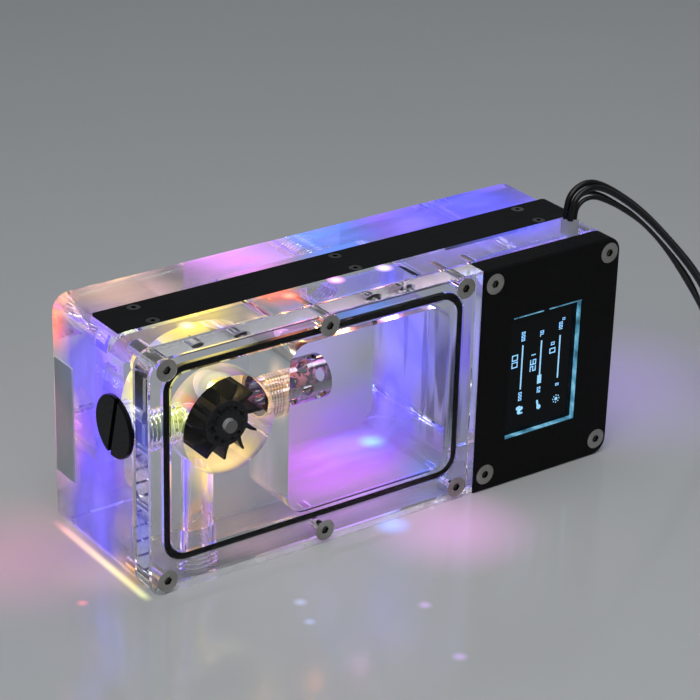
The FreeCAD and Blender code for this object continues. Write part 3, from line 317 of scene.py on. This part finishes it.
def litMaterial(name, colour, strength):
    material = newMaterial(name)
    flicker = noise(material, objectPoint(material), 1500, 1.0)
    shade = ramp(material, flicker, [(0.3, tuple(c * 0.8 for c in colour)), (0.7, colour)])
    principled(material, {"Base Color": shade, "Roughness": 0.4, "Emission Color": shade,
                          "Emission Strength": strength})
    return material


def chromeMaterial(name, colour, roughness, spots, strength):
    # bright metal with a painted reflection: glowing spots of the red and pink of the lamps over it
    material = newMaterial(name)
    fine = noise(material, objectPoint(material), 300, 4.0, 0.6)
    patches = noise(material, objectPoint(material), 650, 1.0)
    patchy = mapRange(material, patches, 0.42, 0.56, 0.1, 1.2, smooth=True)
    # painted reflection of the lamps, in patches
    lit = scaled(material, paintedLightSpots(material, spots), patchy)
    dull = tuple(c * 0.92 for c in colour)
    principled(material, {
        "Base Color": ramp(material, fine, [(0.3, dull), (0.7, colour)]), "Metallic": 1.0,
        "Roughness": mapRange(material, fine, 0.3, 0.7, roughness * 0.8, roughness * 1.2),
        "Normal": bump(material, fine, 0.04, 0.00005),
        "Emission Color": lit, "Emission Strength": strength,
    })
    return material


def screwMaterial(name, axis, dark, bright, outwards, steel):
    # brushed heads with painted shade in the socket; the depths are along the screw
    material = newMaterial(name)
    fine = noise(material, stretched(material, (1, 1, 1)), 900, 4.0, 0.6)
    broad = noise(material, objectPoint(material), 150, 3.0)
    depth = coordinates(material)[axis]
    shade = ramp(material, broad, [(0.3, steel[0]), (0.7, steel[1])])
    sunk = mapRange(material, depth, dark * mm, (dark + outwards * 0.05) * mm, 1.0, 0.0)
    shank = mapRange(material, depth, bright * mm, (bright + outwards * 0.2) * mm, 1.0, 0.0)
    # painted shade: the socket between the head's face and the shank is dark
    paintedSocketShade = maths(material, "SUBTRACT", sunk, shank)
    paintedShadowColour = (0.012, 0.012, 0.012, 1.0)
    colour = addNode(material, "Mix", {"Factor": paintedSocketShade, "A": shade, "B": paintedShadowColour}, data_type="RGBA")
    principled(material, {
        "Base Color": colour.outputs[2], "Metallic": 1.0,
        "Roughness": mapRange(material, fine, 0.3, 0.7, 0.28, 0.42),
        "Normal": bump(material, fine, 0.3, 0.00005),
    })
    return material


lampPower = 35.0
# painted reflections of the lamps on the tube: place, reach and colour
tubePaintedReflections = [((-31, -12, 49), 6.5, (1.0, 0.26, 0.14)), ((-25, -12, 49.5), 6, (1.0, 0.28, 0.40)),
             ((-20, -12, 49), 5, (0.7, 0.28, 0.80)), ((-27, -14, 41), 6, (0.34, 0.16, 0.44)),
             ((-42, -9, 45), 8, (0.8, 0.18, 0.10))]
steels = {"bright": ((0.30, 0.29, 0.27), (0.46, 0.45, 0.42)),
          "dark": ((0.10, 0.10, 0.10), (0.22, 0.22, 0.21))}
materials = {
    "main_block": clearMaterial("clearBlock", 100, [("Y", -17.2, -15.7)], 0.05, 0.35),
    "front_cover": clearMaterial("clearCover", -79, [("X", -78.6, -79.0), ("Y", -24.8, -24.4)],
                                 0.008, 0.05),
    "display_cover": plainMaterial("blackAnodised", (0.0024, 0.0024, 0.0028), 0.5, 0.0, 900, 0.25,
                                   (1, 1, 1), 0.15, {"Specular IOR Level": 0.1}),
    "cover_screws": screwMaterial("screwSteel", "Y", -24.86, -23.9, -1, steels["bright"]),
    "light_cover_screws": screwMaterial("smallScrewSteel", "Z", 69.78, 69.2, 1, steels["dark"]),
    "board_screws": plainMaterial("boardScrewSteel", (0.52, 0.50, 0.47), 0.32, 1.0, 700, 0.2,
                                  (1, 1, 1), 0.3),
    "cover_seal": plainMaterial("sealRubber", (0.002, 0.002, 0.0022), 0.5, 0.0, 500, 0.2,
                                (1, 1, 1), 0.15, {"Specular IOR Level": 0.05}),
    "display_glass": plainMaterial("displayGlass", (0.003, 0.0035, 0.005), 0.12, 0.0, 300, 0.1,
                                   (1, 1, 1), 0.02, {"Specular IOR Level": 0.12}),
    "display_panel": plainMaterial("displayPanel", (0.01, 0.014, 0.02), 0.3),
    "control_board": plainMaterial("boardLacquer", (0.008, 0.03, 0.02), 0.28, 0.0, 1400, 0.5,
                                   (1, 1, 3), 0.5),
    "board_parts": plainMaterial("chipBlack", (0.015, 0.015, 0.016), 0.5),
    "cable_socket": plainMaterial("socketNylon", (0.55, 0.57, 0.62), 0.35, 0.0, 500, 0.1,
                                  (1, 1, 1), 0.1, {"Transmission Weight": 0.35, "IOR": 1.5}),
    "light_cover": plainMaterial("blackStrip", (0.003, 0.003, 0.0035), 0.45, 0.0, 700, 0.25,
                                 (0.2, 3, 1), 0.15, {"Specular IOR Level": 0.1}),
    "light_board": plainMaterial("lampBoard", (0.55, 0.55, 0.52), 0.4),
    "lamps": lampMaterial("lampLight", lampPower),
    "stop_plug": plainMaterial("plugBlack", (0.0025, 0.0025, 0.003), 0.25, 0.0, 500, 0.2,
                               (1, 1, 1), 0.05, {"Specular IOR Level": 0.12}),
    "flow_tube": chromeMaterial("tubeChrome", (0.42, 0.40, 0.45), 0.1, tubePaintedReflections, 0.38),
    "flow_wheel": plainMaterial("wheelBlack", (0.002, 0.002, 0.0022), 0.32, 0.0, 400, 0.2,
                                (1, 1, 1), 0.08, {"Specular IOR Level": 0.2}),
    "wheel_shaft": plainMaterial("shaftSteel", (0.40, 0.40, 0.40), 0.5, 0.35, 500, 0.1, (1, 1, 1), 0.1),
    "name_plate": plainMaterial("plateFrost", (0.42, 0.50, 0.50), 0.55, 0.0, 1600, 0.12,
                                (1, 1, 1), 0.6, {"Transmission Weight": 0.25, "IOR": 1.4}),
    "lead_sleeve": plainMaterial("cableBlack", (0.006, 0.006, 0.007), 0.42, 0.0, 800, 0.2,
                                 (1, 1, 1), 0.15, {"Specular IOR Level": 0.3}),
}
materials["display_cover_screws"] = materials["cover_screws"]
materials["plug_seal"] = materials["cover_seal"]
materials["cable_jack"] = materials["board_parts"]
materials["cable_tie"] = materials["lead_sleeve"]
for name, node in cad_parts.items():
    if name in materials:
        node.data.materials.clear()
        node.data.materials.append(materials[name])
print("stage: materials on the nodes")


# Pieces

def keepPiece(item, body=housing):
    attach(item, body)
    return item


def meshObject(name, mesh, material):
    item = bpy.data.objects.new(name, mesh)
    bpy.context.scene.collection.objects.link(item)
    mesh.materials.clear()
    mesh.materials.append(material)
    return item


def evaluatedMesh(item):
    graph = bpy.context.evaluated_depsgraph_get()
    return bpy.data.meshes.new_from_object(item.evaluated_get(graph), depsgraph=graph)


def boxesMesh(name, boxes, edge, segments):
    # bevelled boxes of left, floor, right, top, front and back, in millimetres from the left end
    work = bmesh.new()
    for left, floor, right, top, front, back in boxes:
        low, high = point((left - halfLength, front, floor)), point((right - halfLength, back, top))
        made = bmesh.ops.create_cube(work, size=1.0)
        for vertex in made["verts"]:
            vertex.co = Vector([low[i] + (vertex.co[i] + 0.5) * (high[i] - low[i]) for i in range(3)])
    bmesh.ops.bevel(work, geom=list(work.edges), offset=edge * mm, segments=segments, affect="EDGES")
    return meshOf(name, work)


def meshOf(name, work):
    mesh = bpy.data.meshes.new(name)
    work.to_mesh(mesh)
    work.free()
    return mesh


# Threads: the grooves that show in the clear walls

portThread = {"radius": 5.86, "depth": 0.72, "pitch": 1.337}
threads = {
    "rear_port_thread": {"start": (4.75, 18.4, 49.5), "axis": "Y", "turns": 5, **portThread},
    "side_port_thread": {"start": (-77.2, -8.8, 45), "axis": "X", "turns": 9, **portThread},
    "tube_thread": {"start": (-37.8, -8.8, 45), "axis": "X", "turns": 6,
                    "radius": 6.7, "depth": 0.56, "pitch": 0.92},
    "lower_port_thread": {"start": (-58.95, -9.3, 1.0), "axis": "Z", "turns": 5, **portThread},
}


def threadTree():
    tree = bpy.data.node_groups.new("threadRings", "GeometryNodeTree")
    tree.interface.new_socket("Geometry", in_out="OUTPUT", socket_type="NodeSocketGeometry")
    for name, kind in (("Radius", "Float"), ("Depth", "Float"), ("Pitch", "Float"), ("Turns", "Int"),
                       ("Finish", "Material")):
        tree.interface.new_socket(name, in_out="INPUT", socket_type="NodeSocket" + kind)
    link, nodes = tree.links.new, tree.nodes
    given = nodes.new("NodeGroupInput").outputs
    out = nodes.new("NodeGroupOutput")
    ring = nodes.new("GeometryNodeCurvePrimitiveCircle")
    ring.inputs["Resolution"].default_value = 72
    link(given["Radius"], ring.inputs["Radius"])
    section = nodes.new("GeometryNodeCurvePrimitiveCircle")
    section.inputs["Resolution"].default_value = 6
    half = nodes.new("ShaderNodeMath")
    half.operation = "MULTIPLY"
    half.inputs[1].default_value = 0.5
    link(given["Depth"], half.inputs[0])
    link(half.outputs[0], section.inputs["Radius"])
    sweep = nodes.new("GeometryNodeCurveToMesh")
    link(ring.outputs["Curve"], sweep.inputs["Curve"])
    link(section.outputs["Curve"], sweep.inputs["Profile Curve"])
    step = nodes.new("ShaderNodeCombineXYZ")
    link(given["Pitch"], step.inputs["Z"])
    line = nodes.new("GeometryNodeMeshLine")
    link(given["Turns"], line.inputs["Count"])
    link(step.outputs["Vector"], line.inputs["Offset"])
    spread = nodes.new("GeometryNodeInstanceOnPoints")
    link(line.outputs["Mesh"], spread.inputs["Points"])
    link(sweep.outputs["Mesh"], spread.inputs["Instance"])
    real = nodes.new("GeometryNodeRealizeInstances")
    link(spread.outputs["Instances"], real.inputs["Geometry"])
    finish = nodes.new("GeometryNodeSetMaterial")
    link(real.outputs["Geometry"], finish.inputs["Geometry"])
    link(given["Finish"], finish.inputs["Material"])
    link(finish.outputs["Geometry"], out.inputs["Geometry"])
    return tree


def nodesPiece(name, tree, values, material, place, turn):
    carrier = meshObject(name + "Carrier", bpy.data.meshes.new(name + "Carrier"), material)
    modifier = carrier.modifiers.new("nodes", "NODES")
    modifier.node_group = tree
    inputs = [item for item in tree.interface.items_tree if item.in_out == "INPUT"]
    sockets = {item.name: item.identifier for item in inputs}
    for key, value in values.items():
        modifier[sockets[key]] = value
    mesh = evaluatedMesh(carrier)
    carrier.modifiers.clear()
    bpy.data.objects.remove(carrier)
    mesh.transform(Matrix.Translation(point(place)) @ turn)
    work = bmesh.new()
    work.from_mesh(mesh)
    bmesh.ops.remove_doubles(work, verts=work.verts, dist=1e-7)
    bmesh.ops.recalc_face_normals(work, faces=work.faces)
    work.to_mesh(mesh)
    work.free()
    item = meshObject(name, mesh, material)
    mesh.shade_smooth()
    mesh.set_sharp_from_angle(angle=math.radians(50))
    return item


grooveAir = airMaterial("threadGroove")
ringTree = threadTree()
alongAxis = {"X": Matrix.Rotation(math.radians(90), 4, "Y"), "Y": Matrix.Rotation(math.radians(-90), 4, "X"),
             "Z": Matrix()}
for name, sizes in threads.items():
    values = {"Radius": sizes["radius"] * mm, "Depth": sizes["depth"] * mm, "Pitch": sizes["pitch"] * mm,
              "Turns": sizes["turns"], "Finish": grooveAir}
    turn = alongAxis[sizes["axis"]]
    keepPiece(nodesPiece(name, ringTree, values, grooveAir, sizes["start"], turn))
print("stage: threads cut")


# The display's figures: a few bars, marks and plain numbers, turned to read upwards

figures = {
    "front": -23.16, "thickness": 0.05, "stroke": 0.34,
    "bars": [(125.6, 28.4, 42.5, 0.5), (132.5, 31.1, 42.3, 0.5), (139.4, 28.6, 42.3, 0.5),
             (132.5, 28.6, 31.3, 1.5)],
    "numbers": [("00", 122.9, 35.9, 1.9, 2.2), ("26", 129.8, 33.2, 1.7, 2.2), ("1", 129.8, 37.2, 1.4, 1.6),
                ("0", 136.8, 37.2, 1.7, 2.2), ("0", 136.8, 39.8, 1.0, 1.3), ("000", 125.6, 43.8, 0.8, 1.3),
                ("70", 132.5, 43.6, 0.8, 1.3), ("100", 139.4, 43.6, 0.8, 1.3), ("0", 140.4, 46.9, 0.8, 1.0),
                ("000", 125.6, 24.8, 0.75, 1.2), ("20", 132.5, 25.6, 0.8, 1.2), ("0", 139.4, 26.1, 0.8, 1.2)],
}
segments = {
    "0": "abcdef", "1": "bc", "2": "abged", "6": "acdefg", "7": "abc",
}


def digitBoxes(digit, across, start, width, height, stroke):
    # reading direction +z, top of the digit towards -x
    left, right = across - height / 2, across + height / 2
    end, middle, half = start + width, across, stroke / 2
    bars = {
        "a": (left, start, left + stroke, end), "d": (right - stroke, start, right, end),
        "g": (middle - half, start, middle + half, end), "f": (left, start, middle, start + stroke),
        "e": (middle, start, right, start + stroke), "b": (left, end - stroke, middle, end),
        "c": (middle, end - stroke, right, end),
    }
    return [bars[key] for key in segments[digit]]


figureLight = litMaterial("figureLight", (0.24, 0.50, 0.74), 1.05)


def displayFigures():
    boxes = [(x - w / 2, low, x + w / 2, high) for x, low, high, w in figures["bars"]]
    for text, across, start, width, height in figures["numbers"]:
        stroke = min(figures["stroke"], height * 0.2)
        for i, digit in enumerate(text):
            boxes += digitBoxes(digit, across, start + i * (width + stroke), width, height, stroke)
    for k in range(3):  # small gauge marks over the icons
        boxes.append((125.2, 20.4 + k * 1.1, 126.9 - k * 0.5, 20.9 + k * 1.1))
    front, back = figures["front"] - figures["thickness"], figures["front"]
    mesh = boxesMesh("display_figures", [(*box, front, back) for box in boxes], 0.015, 1)
    return meshObject("display_figures", mesh, figureLight)


def displayIcons():
    work = bmesh.new()

    def disc(across, up, radius, sides=24):
        thickness = figures["thickness"]
        middle = point((across - halfLength, figures["front"] - thickness / 2, up))
        place = Matrix.Translation(middle) @ Matrix.Rotation(math.radians(90), 4, "X")
        bmesh.ops.create_cone(work, cap_ends=True, segments=sides, radius1=radius * mm, radius2=radius * mm,
                              depth=thickness * mm, matrix=place)

    for k in range(3):  # a drop mark
        angle = math.radians(120 * k + 20)
        disc(125.6 + 0.75 * math.cos(angle), 21.9 + 0.75 * math.sin(angle), 0.62)
    disc(132.9, 20.9, 0.75)
    for k in range(4):  # a thermometer
        disc(132.5 - 0.1 * k, 21.6 + 0.45 * k, 0.36, 12)
    disc(139.4, 21.8, 0.55)
    for k in range(8):  # a wheel
        angle = math.radians(45 * k)
        disc(139.4 + 1.15 * math.cos(angle), 21.8 + 1.15 * math.sin(angle), 0.2, 10)
    return meshObject("display_icons", meshOf("display_icons", work), figureLight)


keepPiece(displayFigures())
keepPiece(displayIcons())

# sizes and tones of the painted light round the display window
windowEdges = {"left": 119.2, "right": 145.3, "floor": 14.5, "top": 53.0, "front": -24.7, "back": -23.12,
               "gap": 0.03, "thickness": 0.22, "rim": -24.97, "rimHeight": 0.5, "rimDepth": 0.3,
               "tones": [(0.3, (0.03, 0.11, 0.17)), (0.5, (0.08, 0.30, 0.46)), (0.7, (0.26, 0.62, 0.84))]}


def windowPaintedGlow():
    # polished strips round the window that glow with painted light: the display's light on the recess walls,
    # and a painted reflection along the top edge
    sizes = windowEdges
    gap, side = sizes["gap"], sizes["thickness"]
    left, right, floor, top = (sizes[key] for key in ("left", "right", "floor", "top"))
    front, back, rim = sizes["front"], sizes["back"], sizes["rim"]
    upper, rimBack = top - sizes["rimHeight"], rim + sizes["rimDepth"]
    strips = [(right - side, floor + side, right - gap, upper, front, back),
              (left + gap, floor + gap, right - gap, floor + side, front, back),
              (left + 1.2, upper, left + 12.0, top - gap, rim, rimBack),
              (right - 12.0, upper, right - gap, top - gap, rim, rimBack)]
    material = newMaterial("windowPaintedLight")
    patch = noise(material, stretched(material, (260, 260, 260)), 1.0, 3.0)
    shade = ramp(material, patch, sizes["tones"])
    principled(material, {"Base Color": (0.02, 0.03, 0.04, 1.0), "Roughness": 0.15, "Emission Color": shade,
                          "Emission Strength": 0.9,
                          "Normal": bump(material, noise(material, objectPoint(material), 700), 0.1)})
    return meshObject("window_edges", boxesMesh("window_edges", strips, 0.04, 2), material)


keepPiece(windowPaintedGlow())
print("stage: display drawn")


# Free cords

leadPoints = {
    "lead_1": [
        (66.5, -14.95, 74.4), (66.3, -14.95, 79.5), (69.6, -14.9, 83.3), (75.6, -14.8, 84.1),
        (84.5, -14.7, 79.2), (96.5, -14.5, 70.2), (109.5, -14.3, 57.4), (121.5, -14, 44.6),
        (130.5, -13.4, 31), (138.5, -12.6, 15.5), (143.5, -12.2, 6.2), (148.5, -12.05, 3.45),
        (154, -12.05, 3.45),
    ],
    "lead_2": [
        (66.5, -16.85, 74.4), (66.8, -16.85, 79.2), (70.4, -16.8, 82.6), (76, -16.75, 83),
        (84.5, -16.6, 78.3), (96.5, -16.4, 69), (109.5, -16.2, 55.8), (121, -15.9, 42.6),
        (129.5, -15.3, 29.5), (137, -14.5, 14.9), (142.3, -14.2, 6.5), (148, -13.95, 3.45),
        (154, -13.95, 3.45),
    ],
    "lead_3": [
        (68.3, -15.1, 74.4), (68.32, -15.1, 77.1), (69.55, -15.05, 79.35), (71.75, -14.9, 80.6),
        (75.05, -14.7, 80.7), (80.05, -14.05, 78.6), (86.35, -13.3, 74.5), (95, -12.9, 68.6),
        (108, -12.7, 56), (120.5, -12.5, 42), (128, -12.5, 28), (135.5, -12.4, 12.5), (141, -12.3, 4.4),
        (147.5, -12.25, 1.45), (154, -12.25, 1.45),
    ],
    "lead_4": [
        (68.4, -16.7, 74.4), (68.42, -16.7, 76.9), (69.65, -16.9, 79), (71.75, -17.15, 80.15),
        (74.85, -17.45, 80.15), (79.65, -17.75, 77.8), (85, -17.9, 74.6), (94.5, -18, 67.6),
        (104, -18, 57.6), (112.8, -17.8, 46), (121.5, -17.2, 34), (130, -16, 20.5), (138.6, -14.8, 7),
        (147, -13.8, 1.45), (154, -13.75, 1.45),
    ],
}
leadDiameters = {"lead_1": 1.8, "lead_2": 1.8, "lead_3": 1.3, "lead_4": 1.3}
cable = {"diameter": 4.2, "start": (168, -13), "middle": (192, 12.3), "turnRadii": (25.2, 21.0),
         "topRadius": 23.15, "steps": 14, "low": 2.7, "high": 6.4,
         "tail": [(9, 6.2), (19, 3.6), (25, 2.6), (27.5, 2.5)]}


def cordCurve(name, points, diameter, material):
    curve = bpy.data.curves.new(name, "CURVE")
    curve.dimensions = "3D"
    curve.bevel_depth = diameter / 2 * mm
    curve.bevel_resolution = 5
    curve.resolution_u = 6
    curve.use_fill_caps = True
    spline = curve.splines.new("NURBS")
    spline.points.add(len(points) - 1)
    for target, place in zip(spline.points, points):
        target.co = (*point(place), 1.0)
    spline.order_u = 3
    spline.use_endpoint_u = True
    curve.materials.append(material)
    item = bpy.data.objects.new(name, curve)
    bpy.context.scene.collection.objects.link(item)
    return item


def curveLength(item):
    bare = item.data.copy()
    bare.bevel_depth = 0.0
    helper = bpy.data.objects.new("measure", bare)
    bpy.context.scene.collection.objects.link(helper)
    mesh = evaluatedMesh(helper)
    places = [[mesh.vertices[i].co for i in edge.vertices] for edge in mesh.edges]
    total = sum((first - second).length for first, second in places)
    bpy.data.objects.remove(helper)
    return total


def coilPoints():
    # in along the floor, two turns side by side, and a third on top of them
    (x, y), steps, low, high = cable["middle"], cable["steps"], cable["low"], cable["high"]
    outer, inner = cable["turnRadii"]
    top = cable["topRadius"]
    startX, startY = cable["start"]
    route = [(startX + along, startY, low) for along in (0, 6, 12, 18)]
    for k in range(1, 3 * steps):
        turn = k / steps
        inward = min(1.0, max(0.0, (turn - 0.85) / 0.3))
        upward = min(1.0, max(0.0, (turn - 1.85) / 0.35))
        radius = outer + (inner - outer) * inward + (top - inner) * upward
        angle = 2 * math.pi * turn - math.pi / 2
        height = low + (high - low) * upward
        route.append((x + radius * math.cos(angle), y + radius * math.sin(angle), height))
    return route + [(x, y - top, high)] + [(x + along, y - top, height) for along, height in cable["tail"]]


def makeCords():
    black = plainMaterial("leadBlack", (0.004, 0.004, 0.0045), 0.34, 0.0, 500, 0.2, (1, 1, 1), 0.12,
                          {"Specular IOR Level": 0.3})
    for name, points in leadPoints.items():
        lead = cordCurve(name + "_wire", points, leadDiameters[name], black)
        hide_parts(name)
        keepPiece(lead)
        curveLength(lead)
    points = coilPoints()
    wire = cordCurve("cable", points, cable["diameter"], materials["lead_sleeve"])
    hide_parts("cable_run", "cable_coil", "cable_tail")
    keepPiece(wire)
    curveLength(wire)
    for item in [item for item in bpy.data.objects if item.type == "CURVE"]:
        print("length of", item.name, round(curveLength(item), 3))


makeCords()
print("stage: cords laid")


# Room, lamps and camera

room = {
    "size": 9.0, "colour": (0.36, 0.375, 0.385), "air": (0.44, 0.46, 0.48, 1.0), "airStrength": 0.4,
    # painted light: glowing pools of the lamps' light on the floor
    "spots": [  # the lamps' light on the floor round the block
        ((-98, 14, 0), 42, (0.20, 0.03, 0.08)),
        ((-84, -6, 0), 16, (0.10, 0.06, 0.02)),
        ((12, -38, 0), 30, (0.30, 0.07, 0.29)),
        ((-1, -27, 0), 7, (0.08, 0.26, 0.85)),
        ((-95, -16.5, 0), 2.2, (0.5, 0.04, 0.03)),
        ((-46.3, -47.5, 0), 2.6, (0.16, 0.18, 0.34)),
        ((-49.8, -57, 0), 2.2, (0.12, 0.16, 0.34)),
        ((-19.2, -66.7, 0), 2.6, (0.24, 0.10, 0.36)),
        ((-27, -92, 0), 2.8, (0.22, 0.10, 0.36)),
        ((108, 10, 0), 58, (0.09, 0.04, 0.22)),
    ],
    # painted bright line of light on the floor along the block's left end
    "line": {"x": -79.5, "width": 1.9, "front": (-25.5, -22), "back": (27, 18),
             "tones": [(0.0, (0.50, 0.55, 0.16)), (0.4, (0.80, 0.66, 0.24)), (0.75, (0.75, 0.36, 0.20)),
                       (1.0, (0.60, 0.12, 0.16))]},
}


def paintedFloorLight(material):
    # painted light on the floor, as emission: the soft spots, and the bright line that the end of the block
    # throws
    line = room["line"]
    parts = coordinates(material)
    off = maths(material, "ABSOLUTE", maths(material, "SUBTRACT", parts["X"], line["x"] * mm))
    share = mapRange(material, off, line["width"] * mm, 0.0, 0.0, 1.0, smooth=True)
    for start, end in (line["front"], line["back"]):
        inside = mapRange(material, parts["Y"], start * mm, end * mm, 0.0, 1.0)
        share = maths(material, "MULTIPLY", share, inside)
    along = mapRange(material, parts["Y"], line["front"][0] * mm, line["back"][0] * mm, 0.0, 1.0)
    bright = scaled(material, ramp(material, along, line["tones"]), share)
    return vectorMath(material, "ADD", paintedLightSpots(material, room["spots"]), bright)


def makeRoom():
    work = bmesh.new()
    bmesh.ops.create_grid(work, x_segments=1, y_segments=1, size=room["size"] / 2)
    floor = newMaterial("floorPale")
    broad = noise(floor, objectPoint(floor), 6, 2.0)
    darker = tuple(c * 0.97 for c in room["colour"])
    principled(floor, {
        "Base Color": ramp(floor, broad, [(0.3, darker), (0.7, room["colour"])]),
        "Roughness": 0.12, "Specular IOR Level": 0.5,
        # painted light pools and line on the floor, as emission
        "Emission Color": paintedFloorLight(floor), "Emission Strength": 1.0,
    })
    meshObject("floor", meshOf("floor", work), floor)
    world = bpy.data.worlds.new("world")
    bpy.context.scene.world = world
    world.use_nodes = True
    background = world.node_tree.nodes["Background"].inputs
    background["Color"].default_value = room["air"]
    background["Strength"].default_value = room["airStrength"]


softLights = {
    "key": {"place": (-0.30, -0.42, 0.75), "aim": (0, -0.05, 0.03), "size": 0.6, "power": 4.9,
            "colour": (1.0, 0.98, 0.95)},
    "top": {"place": (0.12, -0.05, 0.90), "aim": (0, 0, 0.03), "size": 0.7, "power": 3.0,
            "colour": (0.95, 0.98, 1.0)},
}


def makeLights():
    for name, light in softLights.items():
        data = bpy.data.lights.new(name, "AREA")
        data.size = light["size"]
        data.energy = light["power"]
        data.color = light["colour"]
        item = bpy.data.objects.new(name, data)
        bpy.context.scene.collection.objects.link(item)
        item.location = light["place"]
        towards = Vector(light["aim"]) - Vector(light["place"])
        item.rotation_euler = towards.to_track_quat("-Z", "Y").to_euler()


view = {"place": (-373.65, -516.7, 346.5), "forward": (0.5313, 0.7304, -0.4292),
        "right": (0.8156, -0.5781, 0.0259), "lens": 128.6, "sensor": 36.0}


def makeCamera():
    data = bpy.data.cameras.new("camera")
    data.lens = view["lens"]
    data.sensor_width = view["sensor"]
    data.clip_start = 0.01
    item = bpy.data.objects.new("camera", data)
    bpy.context.scene.collection.objects.link(item)
    back = -Vector(view["forward"]).normalized()
    right = Vector(view["right"])
    right = (right - back * right.dot(back)).normalized()
    up = back.cross(right)
    turn = Matrix((right, up, back)).transposed().to_4x4()
    item.matrix_world = Matrix.Translation(point(view["place"])) @ turn
    bpy.context.scene.camera = item


makeRoom()
makeLights()
makeCamera()
bpy.context.scene.view_settings.view_transform = "Standard"
cycles = bpy.context.scene.cycles  # light turns back many times inside the acrylic
cycles.max_bounces = 20
cycles.glossy_bounces = 16
cycles.transmission_bounces = 20
cycles.transparent_max_bounces = 24
print("stage: room and camera")
